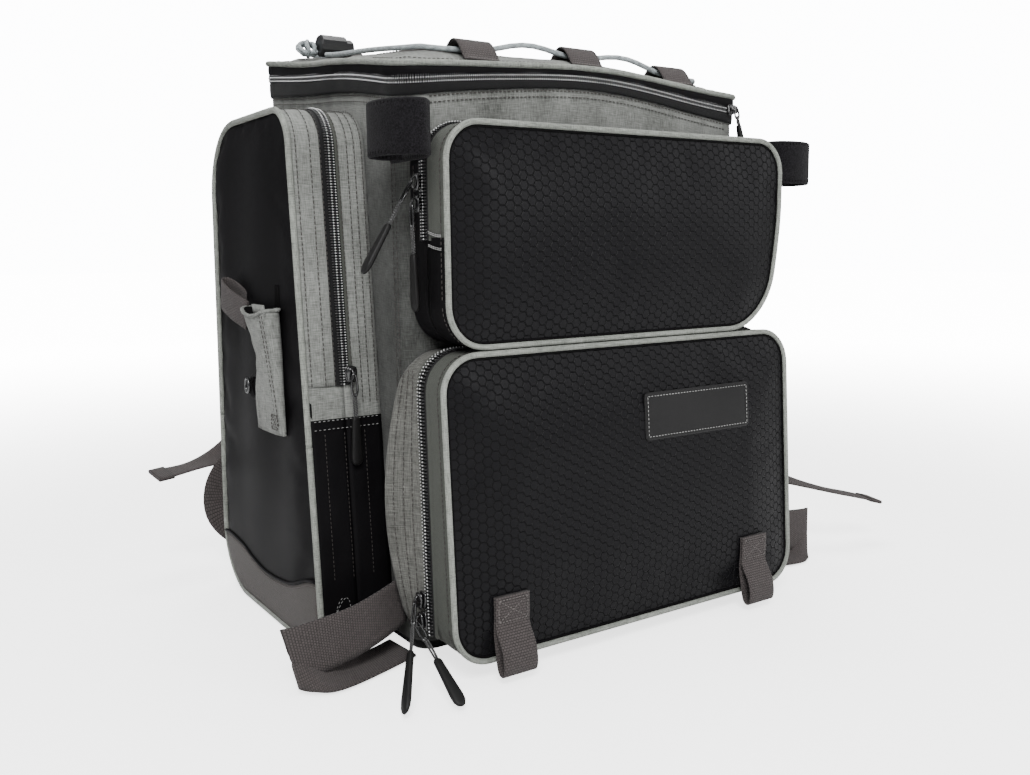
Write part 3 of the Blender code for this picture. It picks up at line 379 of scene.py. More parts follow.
def smooth_path(points, per_span):
    pts = [Vector(p) for p in points]
    pts = [2 * pts[0] - pts[1], *pts, 2 * pts[-1] - pts[-2]]
    out = []
    for i in range(1, len(pts) - 2):
        p0, p1, p2, p3 = pts[i - 1:i + 3]
        for k in range(per_span):
            t = k / per_span
            out.append(0.5 * (2 * p1 + (p2 - p0) * t + (2 * p0 - 5 * p1 + 4 * p2 - p3) * t * t
                              + (3 * p1 - p0 - 3 * p2 + p3) * t ** 3))
    out.append(pts[-2])
    return out


def flip_x(points):
    return [(-p[0], p[1], p[2]) for p in points]


# ---------------------------------------------------------------- meshes
def make_mesh(name, verts, faces, look, uvs=None):
    mesh = bpy.data.meshes.new(name)
    mesh.from_pydata([tuple(v) for v in verts], [], faces)
    mesh.materials.append(look)
    if uvs is not None:
        layer = mesh.uv_layers.new(name="UVMap")
        layer.data.foreach_set("uv", np.asarray(uvs, np.float32).ravel())
    mesh.shade_smooth()
    obj = bpy.data.objects.new(name, mesh)
    bpy.context.scene.collection.objects.link(obj)
    return obj


def surface(name, rows, look, ring=False, caps=False, away=None, uv=None):
    """Quads through rows of points, with UVs in metres. away is a point that the normals turn from."""
    grid = np.array([[tuple(p) for p in row] for row in rows], float)
    n, m = grid.shape[:2]
    wide = m if ring else m - 1
    middle = grid[n // 2]
    steps = np.linalg.norm(np.diff(np.vstack([middle, middle[:1]]), axis=0), axis=1)
    us = np.concatenate([[0], np.cumsum(steps)])
    vs = np.concatenate([[0], np.cumsum(np.linalg.norm(np.diff(grid[:, m // 2], axis=0), axis=1))])
    faces, uvs = [], []
    for i in range(n - 1):
        for j in range(wide):
            k = (j + 1) % m
            faces.append((i * m + j, i * m + k, (i + 1) * m + k, (i + 1) * m + j))
            if uv is None:
                uvs += [(us[j], vs[i]), (us[j + 1], vs[i]), (us[j + 1], vs[i + 1]), (us[j], vs[i + 1])]
            else:
                uvs += [uv(grid[i, j]), uv(grid[i, k]), uv(grid[i + 1, k]), uv(grid[i + 1, j])]
    if caps:
        faces += [tuple(range(m))[::-1], tuple(range((n - 1) * m, n * m))]
        uvs += [(us[j], vs[0]) for j in range(m)] + [(us[j], vs[-1]) for j in range(m)]
    verts = grid.reshape(-1, 3)
    if away is not None:
        a, b, c, d = (verts[[f[k] for f in faces[:(n - 1) * wide]]] for k in range(4))
        normals = np.cross(c - a, d - b)
        outward = (a + b + c + d) / 4 - np.array(tuple(away))
        if np.sum(normals * outward) < 0:
            faces = [f[::-1] for f in faces]
            flipped = []
            at = 0
            for f in faces:
                flipped += uvs[at:at + len(f)][::-1]
                at += len(f)
            uvs = flipped
    return make_mesh(name, verts, faces, look, uvs)


def ribbon(name, path, across, width, thickness, look, columns=6):
    """A flat strip with rounded edges; across is one direction or one for each point."""
    pts = np.array([tuple(p) for p in path], float)
    t = headings(pts)
    side = np.array([tuple(a) for a in across], float) if hasattr(across[0], "__len__") else np.tile(
        np.array(tuple(across), float), (len(pts), 1))
    side -= t * np.sum(side * t, axis=1, keepdims=True)
    side /= np.linalg.norm(side, axis=1, keepdims=True)
    up = np.cross(t, side)
    edge = 1 - thickness / width
    flat = np.linspace(-edge, edge, columns)
    section = [(u, 1.0) for u in flat] + [(1.0, 0.0)] + [(u, -1.0) for u in flat[::-1]] + [(-1.0, 0.0)]
    rows = [[p + s * (width / 2 * u) + n * (thickness / 2 * v) for u, v in section]
            for p, s, n in zip(pts, side, up)]
    return surface(name, rows, look, ring=True, caps=True, away=pts[len(pts) // 2])


def ruled(name, tops, bottoms, thickness, look, columns=9, span=6):
    """A strap through two edge lines, for folds that a single centre line can't describe."""
    pairs = zip(smooth_path(tops, span), smooth_path(bottoms, span))
    rows = [[a + (b - a) * (k / (columns - 1)) for k in range(columns)] for a, b in pairs]
    obj = surface(name, rows, look)
    mod = obj.modifiers.new("thickness", "SOLIDIFY")
    mod.thickness = thickness
    mod.offset = 0.0
    return obj


def tube(name, path, radius, look, sides=10, closed=False):
    pts = np.array([tuple(p) for p in path], float)
    t = headings(pts, closed)
    normal = Vector(t[0]).orthogonal().normalized()
    rows = []
    for p, d in zip(pts, t):
        d = Vector(d)
        normal = (normal - d * normal.dot(d)).normalized()
        other = d.cross(normal)
        rows.append([Vector(p) + normal * (radius * math.cos(a)) + other * (radius * math.sin(a))
                     for a in (2 * math.pi * k / sides for k in range(sides))])
    if closed:
        rows.append(rows[0])
    obj = surface(name, rows, look, ring=True, caps=not closed)
    return outward(obj)


def outward(obj):
    """Turns the normals of a closed mesh outward."""
    mesh = obj.data
    volume = 0.0
    for poly in mesh.polygons:
        volume += Vector(poly.center).dot(poly.normal) * poly.area
    if volume < 0:
        mesh.flip_normals()
    return obj


def capsule(length, width, height, sides=6):
    """Rounded bar along its first axis: local vertices and faces."""
    verts, faces = [(-length / 2, 0, 0)], []
    rows = ((-0.42, 0.7), (-0.15, 1.0), (0.15, 1.0), (0.42, 0.7))
    for at, share in rows:
        for k in range(sides):
            a = 2 * math.pi * k / sides
            verts.append((length * at, width / 2 * share * math.cos(a), height / 2 * share * math.sin(a)))
    verts.append((length / 2, 0, 0))
    for k in range(sides):
        j = (k + 1) % sides
        faces.append((0, 1 + j, 1 + k))
        for r in range(len(rows) - 1):
            a, b = 1 + r * sides, 1 + (r + 1) * sides
            faces.append((a + k, a + j, b + j, b + k))
        end = 1 + (len(rows) - 1) * sides
        faces.append((end + k, end + j, len(verts) - 1))
    return np.array(verts), faces


def copies(name, shape, centres, forward, up, look):
    """One mesh of many small copies of a shape."""
    verts, faces = shape
    side = np.cross(up, forward)
    side /= np.maximum(np.linalg.norm(side, axis=1, keepdims=True), 1e-9)
    up = np.cross(forward, side)
    every = (centres[:, None] + forward[:, None] * verts[None, :, :1] + side[:, None] * verts[None, :, 1:2]
             + up[:, None] * verts[None, :, 2:3]).reshape(-1, 3)
    count = len(verts)
    all_faces = [tuple(i + n * count for i in f) for n in range(len(centres)) for f in faces]
    return make_mesh(name, every, all_faces, look)


def facing(up, pts):
    if callable(up):
        return np.array([tuple(up(p)) for p in pts], float)
    up = np.array(tuple(up) if len(np.shape(up)) < 2 else up, float)
    return np.tile(up, (len(pts), 1)) if up.ndim == 1 else up


def join(name, objs):
    """Merges pieces that move together into one mesh, keeping their materials."""
    objs = [o for o in objs if o is not None]
    with bpy.context.temp_override(active_object=objs[0], selected_editable_objects=objs):
        bpy.ops.object.join()
    objs[0].name = name
    return objs[0]


def sewn(name, lines, look, length=0.0027, pitch=0.0038, thick=0.0007):
    """Lockstitch along several lines; each line is (points, normal or function)."""
    centres, forward, ups = [], [], []
    for path, up in lines:
        pts = resample(path, pitch)
        if len(pts) < 2:
            continue
        mid = (pts[1:] + pts[:-1]) / 2
        d = pts[1:] - pts[:-1]
        centres.append(mid)
        forward.append(d / np.maximum(np.linalg.norm(d, axis=1, keepdims=True), 1e-9))
        ups.append(facing(up, mid))
    return copies(name, capsule(length, thick * 1.2, thick), np.vstack(centres), np.vstack(forward),
                  np.vstack(ups), look)


def box_stitch(corners, normal, cross=True):
    """Lines of a sewn box with a cross, through four corner points."""
    c = [Vector(p) for p in corners]
    lines = [([c[i], c[(i + 1) % 4]], normal) for i in range(4)]
    if cross:
        lines += [([c[0], c[2]], normal), ([c[1], c[3]], normal)]
    return lines


def place(obj, body, replaces=()):
    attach(obj, body)
    if replaces:
        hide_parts(*replaces)
    return obj


def thicken(obj, depth, lining=None):
    mod = obj.modifiers.new("thickness", "SOLIDIFY")
    mod.thickness = depth
    mod.offset = -1.0
    if lining:
        obj.data.materials.append(lining)
        mod.material_offset = len(obj.data.materials) - 1
    return obj


def soften(obj, pins, pressure, grow, cap, frames=16):
    """Lets a panel bulge and wrinkle between its sewn edges, and limits how far it moves."""
    mesh = obj.data
    rest = np.array([v.co for v in mesh.vertices], float)
    group = obj.vertex_groups.new(name="sewn")
    group.add([int(i) for i in pins], 1.0, "REPLACE")
    mod = obj.modifiers.new("cloth", "CLOTH")
    s = mod.settings
    s.quality = 6
    s.mass = 0.15
    s.tension_stiffness = s.compression_stiffness = 12
    s.shear_stiffness = 4
    s.bending_stiffness = 0.15
    s.air_damping = 2.0
    s.use_pressure = True
    s.uniform_pressure_force = pressure
    s.shrink_min = -grow
    s.vertex_group_mass = "sewn"
    s.effector_weights.gravity = 0.0
    mod.point_cache.frame_start = 1
    mod.point_cache.frame_end = frames
    scene = bpy.context.scene
    for f in range(1, frames + 1):
        scene.frame_set(f)
    shown = obj.evaluated_get(bpy.context.evaluated_depsgraph_get())
    moved = np.array([v.co for v in shown.data.vertices], float)
    obj.modifiers.remove(mod)
    scene.frame_set(1)
    if moved.shape != rest.shape or not np.isfinite(moved).all():
        return obj
    delta = moved - rest
    far = np.linalg.norm(delta, axis=1, keepdims=True)
    delta *= np.minimum(1.0, cap / np.maximum(far, 1e-9))
    mesh.vertices.foreach_set("co", (rest + delta).ravel())
    mesh.update()
    return obj


def panel_grid(corners, radii, pitch):
    """Even grid over a rounded four-sided outline: points, distance to the edge and edge indices."""
    c = np.array(corners, float)
    w = (np.linalg.norm(c[1] - c[0]) + np.linalg.norm(c[2] - c[3])) / 2
    h = (np.linalg.norm(c[3] - c[0]) + np.linalg.norm(c[2] - c[1])) / 2
    nx, ny = int(round(w / pitch)), int(round(h / pitch))
    rows, depth, edge = [], [], []
    spots = ((0, 0, radii[0]), (1, 0, radii[1]), (1, 1, radii[2]), (0, 1, radii[3]))
    for j in range(ny + 1):
        row = []
        for i in range(nx + 1):
            px, py = w * i / nx, h * j / ny
            d = min(px, w - px, py, h - py)
            for sx, sy, r in spots:
                ax = (r - px) if sx == 0 else (px - (w - r))
                ay = (r - py) if sy == 0 else (py - (h - r))
                if ax > 0 and ay > 0:
                    bx = ax * math.sqrt(max(1 - (ay / r) ** 2 / 2, 0))
                    by = ay * math.sqrt(max(1 - (ax / r) ** 2 / 2, 0))
                    px = r - bx if sx == 0 else w - r + bx
                    py = r - by if sy == 0 else h - r + by
                    d = r - math.hypot(bx, by)
                    break
            s, t = px / w, py / h
            p = (c[0] * (1 - s) + c[1] * s) * (1 - t) + (c[3] * (1 - s) + c[2] * s) * t
            row.append(p)
            depth.append(max(d, 0.0))
            if i in (0, nx) or j in (0, ny):
                edge.append(j * (nx + 1) + i)
        rows.append(row)
    return rows, depth, edge


def draped(corners, radii, pitch, point):
    """Rows of point(u, v, distance to the edge) over a rounded outline, and the indices of its edge."""
    rows, depth, edge = panel_grid(corners, radii, pitch)
    distance = iter(depth)
    return [[point(u, v, next(distance)) for u, v in row] for row in rows], edge


def stretch(keep, count):
    """Indices of one unbroken stretch of a ring of count points, in order along it."""
    start = next(k for k in keep if (k - 1) % count not in keep)
    return [(start + n) % count for n in range(len(keep))]


def outward_of(ring, normals, axes):
    """A function that gives any point the normal of the nearest point of a flat ring."""
    def direction(p):
        nearest = int(np.argmin(np.sum((ring - np.array([p[a] for a in axes])) ** 2, axis=1)))
        normal = np.zeros(3)
        normal[list(axes)] = normals[nearest]
        return normal
    return direction


# ---------------------------------------------------------------- zips
TOOTH = capsule(0.0034, 0.00105, 0.0014)
GLINT = capsule(0.0012, 0.00085, 0.0009)


def zip_chain(name, path, up, across, bodies, tapes=(TAPE, TAPE), closed=False, width=0.0062, lift=0.0008,
              scale=1.0):
    """Interlocked coil on two tapes; the first half rides the first body, on the side that across points to."""
    pitch = 0.0036 * scale
    pts = resample(path, pitch, closed)
    ups = facing(up, pts)
    sides = facing(across, pts)
    t = headings(pts, closed)
    tooth = (TOOTH[0] * scale, TOOTH[1])
    glint = (GLINT[0] * scale, GLINT[1])
    for sign, body, tape, tag in ((1, bodies[0], tapes[0], "outer"), (-1, bodies[1], tapes[1], "inner")):
        bases, normals, outs = [], [], []
        for shift in (0.0, 0.5):
            base = pts + (np.roll(pts, -1, axis=0) - pts) * shift
            if not closed:
                base = base[:-1]
            n = len(base)
            bases.append(base + t[:n] * (pitch / 4 * sign))
            normals.append(ups[:n])
            outs.append(sides[:n])
        base, normal, out = np.vstack(bases), np.vstack(normals), np.vstack(outs)
        chain = copies(f"{name}_coil_{tag}", tooth, base + out * (0.0016 * scale * sign) + normal * lift, out,
                       normal, COIL)
        place(chain, body)
        # Painted highlights: small pale dots along the coil, standing in for its glints.
        share = 0.0004 if sign > 0 else 0.0026
        height = lift + (0.0007 if sign > 0 else 0.0004) * scale
        dots = copies(f"{name}_glints_{tag}", glint, base + out * (share * scale * sign) + normal * height, out,
                      normal, GLEAM)
        place(dots, body)
        for part, lo, hi, height, look in (("bed", 0.0, 0.0040 * scale, 0.45, TAPE_BLACK),
                                           ("tape", 0.0038 * scale, width, 0.25, tape)):
            rows = [pts + sides * ((0.0002 + lo + (hi - lo) * q) * sign)
                    + ups * (lift * height * (1 if q < 1 else 0.6)) for q in (0.0, 0.35, 0.7, 1.0)]
            strip = surface(f"{name}_{part}_{tag}", rows, look, ring=closed, away=pts.mean(axis=0))
            place(strip, body)


def slider_piece(name, centre, along, out, body, node):
    """Painted slider: two plates and an arched bridge for the pull."""
    along, out = Vector(along).normalized(), Vector(out).normalized()
    side = along.cross(out)
    plan = ((-0.0062, 0.0030), (-0.0030, 0.0040), (0.0020, 0.0048), (0.0058, 0.0042), (0.0066, 0.0024))
    ring = [(a, w) for a, w in plan] + [(a, -w) for a, w in reversed(plan)]
    c = Vector(centre)

    def plate(tag, lo, hi, share):
        rows = []
        for h, s in ((lo, 0.90 * share), (lo + 0.0004, share), (hi - 0.0005, share), (hi, 0.86 * share)):
            rows.append([c + along * (a * s) + side * (w * s) + out * h for a, w in ring])
        return outward(surface(f"{name}_{tag}", rows, PAINT, ring=True, caps=True))

    bridge = [c + along * a + out * h for a, h in ((-0.0040, 0.0020), (-0.0034, 0.0042), (-0.0005, 0.0052),
                                                   (0.0032, 0.0044), (0.0040, 0.0018))]
    arch = ribbon(f"{name}_bridge", smooth_path(bridge, 4), side, 0.0028, 0.0012, PAINT, 3)
    lower = plate("lower", -0.0026, -0.0008, 1.0)
    upper = plate("upper", 0.0006, 0.0024, 0.94)
    return place(join(name, [upper, lower, outward(arch)]), body, (node,))


def pull_piece(name, start, end, across, body, node, tab=0.24, size=0.0096):
    """Metal tab, doubled cord and a moulded rubber grip."""
    a, b = Vector(start), Vector(end)
    axis = (b - a).normalized()
    length = (b - a).length
    side = Vector(across)
    side = (side - axis * side.dot(axis)).normalized()
    up = axis.cross(side)
    bits = []
    loop = []
    reach = length * tab
    for k in range(25):
        t = 2 * math.pi * k / 24
        u = reach * (0.5 - 0.5 * math.cos(t))
        v = 0.0027 * math.copysign(abs(math.sin(t)) ** 0.6, math.sin(t)) * (0.75 + 0.25 * u / reach)
        loop.append(a + axis * (u - 0.0008) + side * v)
    bits.append(tube(f"{name}_tab", loop[:-1], 0.00085, PAINT, 8, True))
    neck = length * 0.46
    for s in (-1, 1):
        strand = [a + axis * (reach - 0.0030), a + axis * (reach + 0.002) + side * (0.0011 * s),
                  a + axis * (neck * 0.8 + reach * 0.2) + side * (0.0010 * s) + up * 0.0003,
                  a + axis * (neck + 0.003) + side * (0.0006 * s)]
        bits.append(tube(f"{name}_cord_{s + 1}", smooth_path(strand, 4), 0.00085, CORD, 8))
    rows = []
    for t, w, h in ((0.0, 0.30, 0.5), (0.02, 0.56, 0.9), (0.06, 0.66, 1.1), (0.25, 0.74, 1.1), (0.55, 0.88, 1.2),
                    (0.78, 1.0, 1.25), (0.90, 0.94, 1.1), (0.97, 0.66, 0.80), (1.0, 0.30, 0.35)):
        p = a + axis * (neck + (length - neck) * t)
        rows.append([p + side * (size / 2 * w * math.copysign(abs(math.cos(q)) ** 0.6, math.cos(q)))
                     + up * (0.0019 * h * math.copysign(abs(math.sin(q)) ** 0.6, math.sin(q)))
                     for q in (2 * math.pi * k / 16 for k in range(16))])
    bits.append(outward(surface(f"{name}_grip", rows, RUBBER, ring=True, caps=True)))
    return place(join(name, bits), body, (node,))


# ---------------------------------------------------------------- body and lid
def wave(x, y):
    """Gentle rise and fall of the lid seam."""
    return 0.0009 * math.sin(x * 31 + 1.1) + 0.0009 * math.sin(y * 34 + x * 17)


def arch(x, y):
    """Share of the bow over the front edge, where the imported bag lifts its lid."""
    along = min(max((x + HALF_W) / (2 * HALF_W), 0.0), 1.0)
    near = min(max((0.02 - y) / (HALF_D + 0.02), 0.0), 1.0)
    return math.sin(math.pi * along ** 0.85) * near ** 1.5


def seam_rise(x, y):
    left = 0.0028 * math.sin(math.pi * min(max((y + HALF_D) / (2 * HALF_D), 0.0), 1.0)) if x < -0.15 else 0.0
    return wave(x, y) + 0.0132 * arch(x, y) + left


def rim_rise(x, y):
    return seam_rise(x, y) + 0.0022 * arch(x, y)


def top_rise(x, y):
    return wave(x, y) + 0.0082 * arch(x, y)


def body():
    ring, normals = outline(BODY_CORNERS, (BODY_R,) * 4, 0.005)
    rows = []
    for k in range(72):
        t = k / 71
        row = []
        for (x, y), (nx, ny) in zip(ring, normals):
            z = 0.0125 + (along_depth(RIM, y) + rim_rise(x, y) - 0.0125) * t
            hold = math.sin(math.pi * min(t, 1.0)) ** 0.5 if 0 < t < 1 else 0.0
            out = hold * (0.0016 * ripple((x, y, z * 1.6), 0.035) + 0.0010 * ripple((x, y, z), 0.013, 3.0))
            if y > 0.12:
                out = min(out, 0.0)
            row.append((x + nx * out, y + ny * out, z))
        rows.append(row)
    rows.insert(0, [(x * 0.985, y * 0.98, 0.0085) for x, y in ring])
    shell = surface("body_fabric", rows, GREY_BODY_SHADED, ring=True, away=(0, 0, 0.2))
    place(thicken(shell, 0.003, SHADOW), "pack", ("main_shell",))
    floor_rows = [[(x * s, y * s, 0.0118) for x, y in ring] for s in (0.975, 0.6, 0.2, 0.02)]
    place(surface("body_floor", floor_rows, SHADOW, ring=True, away=(0, 0, -1)), "pack")
    # Seams at the front corners and round the top edge, under the lid zip.
    lines = []
    for sx in (-1, 1):
        for y in (-0.1180, -0.1235):
            lines.append(([(sx * (HALF_W + 0.0009), y, z / 100) for z in range(3, 42)], (sx, 0, 0)))
    for dz in (0.004, 0.0085):
        lines.append(([(x, -HALF_D - 0.0008, along_depth(RIM, -HALF_D) + rim_rise(x, -HALF_D) - dz)
                       for x in np.linspace(-0.150, 0.150, 60)], (0, -1, 0)))
        for sx in (-1, 1):
            lines.append(([(sx * (HALF_W + 0.0008), y, along_depth(RIM, y) + rim_rise(sx * HALF_W, y) - dz)
                           for y in np.linspace(-0.118, 0.118, 40)], (sx, 0, 0)))
    place(sewn("body_seams", lines, DARK_THREAD), "pack")


def lid():
    ring, normals = outline(BODY_CORNERS, (BODY_R,) * 4, 0.005)

    def band(name, heights_a, heights_b, rises, bulge, look, base_out=0.0, count=6):
        rows = []
        for k in range(count + 1):
            t = k / count
            row = []
            for (x, y), (nx, ny) in zip(ring, normals):
                z = (along_depth(heights_a, y) + rises[0](x, y)) * (1 - t)
                z += (along_depth(heights_b, y) + rises[1](x, y)) * t
                out = base_out + bulge * math.sin(math.pi * t) ** 0.7 + 0.0007 * ripple((x, y, z), 0.02, 5.0)
                row.append((x + nx * out, y + ny * out, z))
            rows.append(row)
        return surface(name, rows, look, ring=True, away=(0, 0, 0.44))

    foot = (RIM[0] - 0.0022, RIM[1] - 0.0022)
    lower = band("lid_zip_band", foot, ZIP, (rim_rise, seam_rise), 0.0008, TAPE_BLACK, 0.0016)
    place(thicken(lower, 0.0015, SHADOW), "pack", ("lid_zip",))
    foot = (ZIP[0] + 0.0004, ZIP[1] + 0.0004)
    upper = band("lid_side_band", foot, LID, (seam_rise, top_rise), 0.0018, COATED, 0.0014)
    place(thicken(upper, 0.0020, SHADOW), "lid", ())
    path = [(x + nx * 0.0012, y + ny * 0.0012, along_depth(ZIP, y) + seam_rise(x, y))
            for (x, y), (nx, ny) in zip(ring, normals)]

    start = next(i for i, p in enumerate(path) if p[1] >= HALF_D - 0.004)
    rolled = path[start:] + path[:start]
    front = [p for p in rolled if p[1] < HALF_D - 0.004]
    zip_chain("lid_zip_teeth", front, outward_of(ring, normals, (0, 1)), (0, 0, 1), ("lid", "pack"),
              (TAPE_BLACK, TAPE_BLACK), width=0.0040)

    def top_point(x, y, d):
        hold = min(d / WRINKLE_REACH, 1.0)
        z = along_depth(LID, y) + crown(d, LID_CROWN, LID_REACH) + top_rise(x, y)
        z += hold * (0.0012 * ripple((x, y, 0), 0.05, 1.0) + 0.0006 * ripple((x * 2, y, 0), 0.02, 4.0)) - 0.0004
        return (x, y, z)

    flat, edge = draped(BODY_CORNERS, (BODY_R,) * 4, 0.006, top_point)
    top = surface("lid_top", flat, GREY, away=(0, 0, -1), uv=lambda p: (p[0], p[1]))
    soften(top, edge, 0.25, 0.012, 0.0025)
    place(thicken(top, 0.0025, SHADOW), "lid", ("lid_shell",))
    edge_ring, _ = outline(BODY_CORNERS, (BODY_R,) * 4, 0.004, -0.0026)
    pipe = tube("lid_edge_piping", [(x, y, along_depth(LID, y) + top_rise(x, y) - 0.0006) for x, y in edge_ring],
                PIPING_R + 0.0002, PIPE, 10, True)
    place(pipe, "lid", ("lid_piping",))
    inner, _ = outline(BODY_CORNERS, (BODY_R,) * 4, 0.004, 0.006)
    lines = [([(x, y, lid_height(x, y) + 0.0008) for x, y in inner], (0, 0, 1))]
    place(sewn("lid_seam", lines, DARK_THREAD), "lid")


LOOP_FRONT_Y, LOOP_BACK_Y, LOOP_X = -0.118, 0.112, 0.100
LOOPS = [(x, y) for y in (LOOP_FRONT_Y, LOOP_BACK_Y) for x in (-LOOP_X, 0.0, LOOP_X)]


def lid_fittings():
    arches, lines = [], []
    for n, (x, y) in enumerate(LOOPS):
        path = []
        for k in range(21):
            s = -1.35 + 2.7 * k / 20
            yy = y + 0.014 * s
            lift = 0.0014 + (0.0112 * math.cos(s * math.pi / 2) ** 0.8 if abs(s) < 1 else 0.0)
            path.append((x, yy, lid_height(x, yy) + lift))
        arches.append(ribbon(f"arch_{n}", path, (1, 0, 0), 0.032, WEB_T, WEB))
        for s in (-1, 1):
            ends = [y + 0.014 * s * q for q in (1.03, 1.28)]
            lines += [([(x - 0.0135, e, lid_height(x, e) + 0.0026), (x + 0.0135, e, lid_height(x, e) + 0.0026)],
                       (0, 0, 1)) for e in ends]
    place(join("lid_webbing_loops", arches), "lid", ("lid_loops",))
    place(sewn("lid_loop_stitching", lines, WEB_THREAD), "lid")
    stops = [(-0.150, 0.078), (-0.144, 0.104), (-0.122, 0.112), (-0.100, 0.112), (0.0, 0.112), (0.100, 0.112),
             (0.140, 0.098), (0.152, 0.060), (0.154, 0.0), (0.153, -0.070), (0.142, -0.106),
             (0.100, -0.118), (0.0, -0.118), (-0.100, -0.118), (-0.140, -0.104), (-0.151, -0.070), (-0.151, 0.0),
             (-0.146, 0.048)]
    pts = smooth_path([(x, y, 0.0) for x, y in stops], 10)
    route = []
    for p in pts:
        between = abs(p.x) < LOOP_X and p.y < -0.1
        slack = 0.0065 * math.sin(math.pi * abs(p.x) / LOOP_X) ** 2 if between else 0.0
        route.append((p.x, p.y, lid_height(p.x, p.y) + 0.0055 + slack))
    place(tube("lid_bungee", route, 0.0021, BUNGEE, 12), "lid", ("bungee_cord",))


def cord_knot():
    """Loose turns of cord tied behind the lock."""
    centre = Vector((-0.151, 0.078, lid_height(-0.150, 0.078) + 0.0105))
    bits = []
    for n, (tilt, size) in enumerate(((0.2, 0.0085), (1.2, 0.0080), (2.2, 0.0072), (2.9, 0.0090))):
        turn = Matrix.Rotation(tilt, 4, "Z") @ Matrix.Rotation(0.5 * n - 0.6, 4, "X")
        ring = [centre + turn @ Vector((size * math.cos(a), 0.0006 * math.sin(3 * a), 0.78 * size * math.sin(a)))
                for a in (2 * math.pi * k / 36 for k in range(36))]
        bits.append(tube(f"turn_{n}", ring, 0.0019, BUNGEE, 8, True))
    place(join("bungee_knot", bits), "lid", ())


def handle():
    foot_z = ZIP[1] + 0.003
    y = HALF_D + 0.0075
    route = [((-0.074, y, foot_z), 0.0), ((-0.074, y + 0.001, foot_z + 0.012), 0.1),
             ((-0.062, y + 0.007, foot_z + 0.028), 0.8), ((-0.030, y + 0.010, foot_z + 0.037), 1.0),
             ((0.005, y + 0.011, foot_z + 0.044), 1.0), ((0.040, y + 0.010, foot_z + 0.048), 1.0),
             ((0.060, y + 0.007, foot_z + 0.038), 0.8), ((0.070, y + 0.001, foot_z + 0.014), 0.1),
             ((0.070, y, foot_z), 0.0)]
    path = smooth_path([p for p, _ in route], 6)
    turn = [p.x for p in smooth_path([(t, 0, 0) for _, t in route], 6)]
    grip = ribbon("handle_webbing", path, [(1 - t, t, 0.0) for t in turn], 0.024, 0.0026, WEB, 8)
    place(grip, "handle", ("carry_handle",))
    line = [(p + Vector((0, 0, 0.0016)), k) for k, p in enumerate(path) if 14 < k < 40]
    lines = []
    for off in (-0.0095, 0.0095):
        lines.append(([tuple(p + Y * off) for p, _ in line], (0, 0, 1)))
    place(sewn("handle_stitching", lines, WEB_THREAD), "handle")


# ---------------------------------------------------------------- front pockets
def pocket(prefix, corners, radii, zip_y, face_y, belly, body, black_below, taper):
    ring, normals = outline(corners, radii, 0.004)
    ring = np.array([(x - taper(x, z), z) for x, z in ring])
    centre = (0.0, -0.1, (corners[0][1] + corners[2][1]) / 2)

    def paint(obj, limit, extra):
        obj.data.materials.append(extra)
        index = len(obj.data.materials) - 1
        for poly in obj.data.polygons:
            if poly.center.z < limit:
                poly.material_index = index

    rows = []
    for k in range(13):
        share = 1 - k / 12
        row = []
        for x, z in ring:
            y = zip_y(z) + 0.0003 + (-HALF_D - zip_y(z) - 0.0003) * share
            push = belly(y, z) * x / corners[1][0] if belly else 0.0
            wrinkle = 0.0010 * ripple((x, y * 2, z), 0.03, 2.0) * math.sin(math.pi * share)
            row.append((x + push + wrinkle * (1 if x > 0 else -1), y, z))
        rows.append(row)
    # Without a black lower part (the low pocket), the gusset takes the darker heather copy, which is painted
    # shade.
    gusset = surface(f"{prefix}_gusset", rows, GREY if black_below else GREY_LOW_SHADED, ring=True, away=centre)
    # The upper pocket's gusset is black below z 0.374: black fabric below 0.320, and painted shade from 0.320 to
    # 0.374 beside the zip.
    if black_below:
        paint(gusset, 0.374, COATED)
    place(thicken(gusset, 0.002, SHADOW), "pack", (f"{prefix}_pocket_gusset",))

    rows = []
    for k in range(7):
        t = k / 6
        bow = 0.0008 * math.sin(math.pi * t)
        rows.append([(x + nx * bow, zip_y(z) - 0.0003 + (face_y(z) - zip_y(z) + 0.0003) * t, z + nz * bow)
                     for (x, z), (nx, nz) in zip(ring, normals)])
    wall = surface(f"{prefix}_cover_wall", rows, TAPE, ring=True, away=centre)
    if black_below:
        paint(wall, black_below, COATED)
    place(thicken(wall, 0.002, SHADOW), body, (f"{prefix}_pocket_cover",))

    def face_point(x, z, d):
        y = face_y(z) - crown(d, PANEL_CROWN, PANEL_REACH)
        return (x - taper(x, z), y - 0.0008 * min(d / WRINKLE_REACH, 1) * ripple((x, 0, z), 0.05, 7.0), z)

    flat, edge = draped(corners, radii, 0.005, face_point)
    face = surface(f"{prefix}_cover_panel", flat, HEX, away=(0, 1, 0.2), uv=lambda p: (p[0], p[2]))
    soften(face, edge, 0.35, 0.0015, 0.002)
    place(thicken(face, 0.0025, SHADOW), body, ())

    pipe_ring, _ = outline(corners, radii, 0.004, 0.0003)
    pipe = tube(f"{prefix}_edge_piping", [(x - taper(x, z), face_y(z) - 0.0014, z) for x, z in pipe_ring],
                PIPING_R, PIPE, 10, True)
    place(pipe, body, (f"{prefix}_pocket_piping",))
    welt = [(x + nx * 0.0011, face_y(z) + 0.0052, z + nz * 0.0011) for (x, z), (nx, nz) in zip(ring, normals)]
    out_of = outward_of(ring, normals, (0, 2))
    place(sewn(f"{prefix}_wall_seam", [(welt, out_of)], DARK_THREAD), body)
    # Painted shadow: a thin black tube just inside the piping, standing in for the shadow gap between piping and
    # panel.
    inner_ring, _ = outline(corners, radii, 0.004, 0.0034)
    place(tube(f"{prefix}_edge_painted_shadow", [(x - taper(x, z), face_y(z) - 0.0010, z) for x, z in inner_ring], 0.0010,
               SHADOW, 6, True), body)
    return out_of


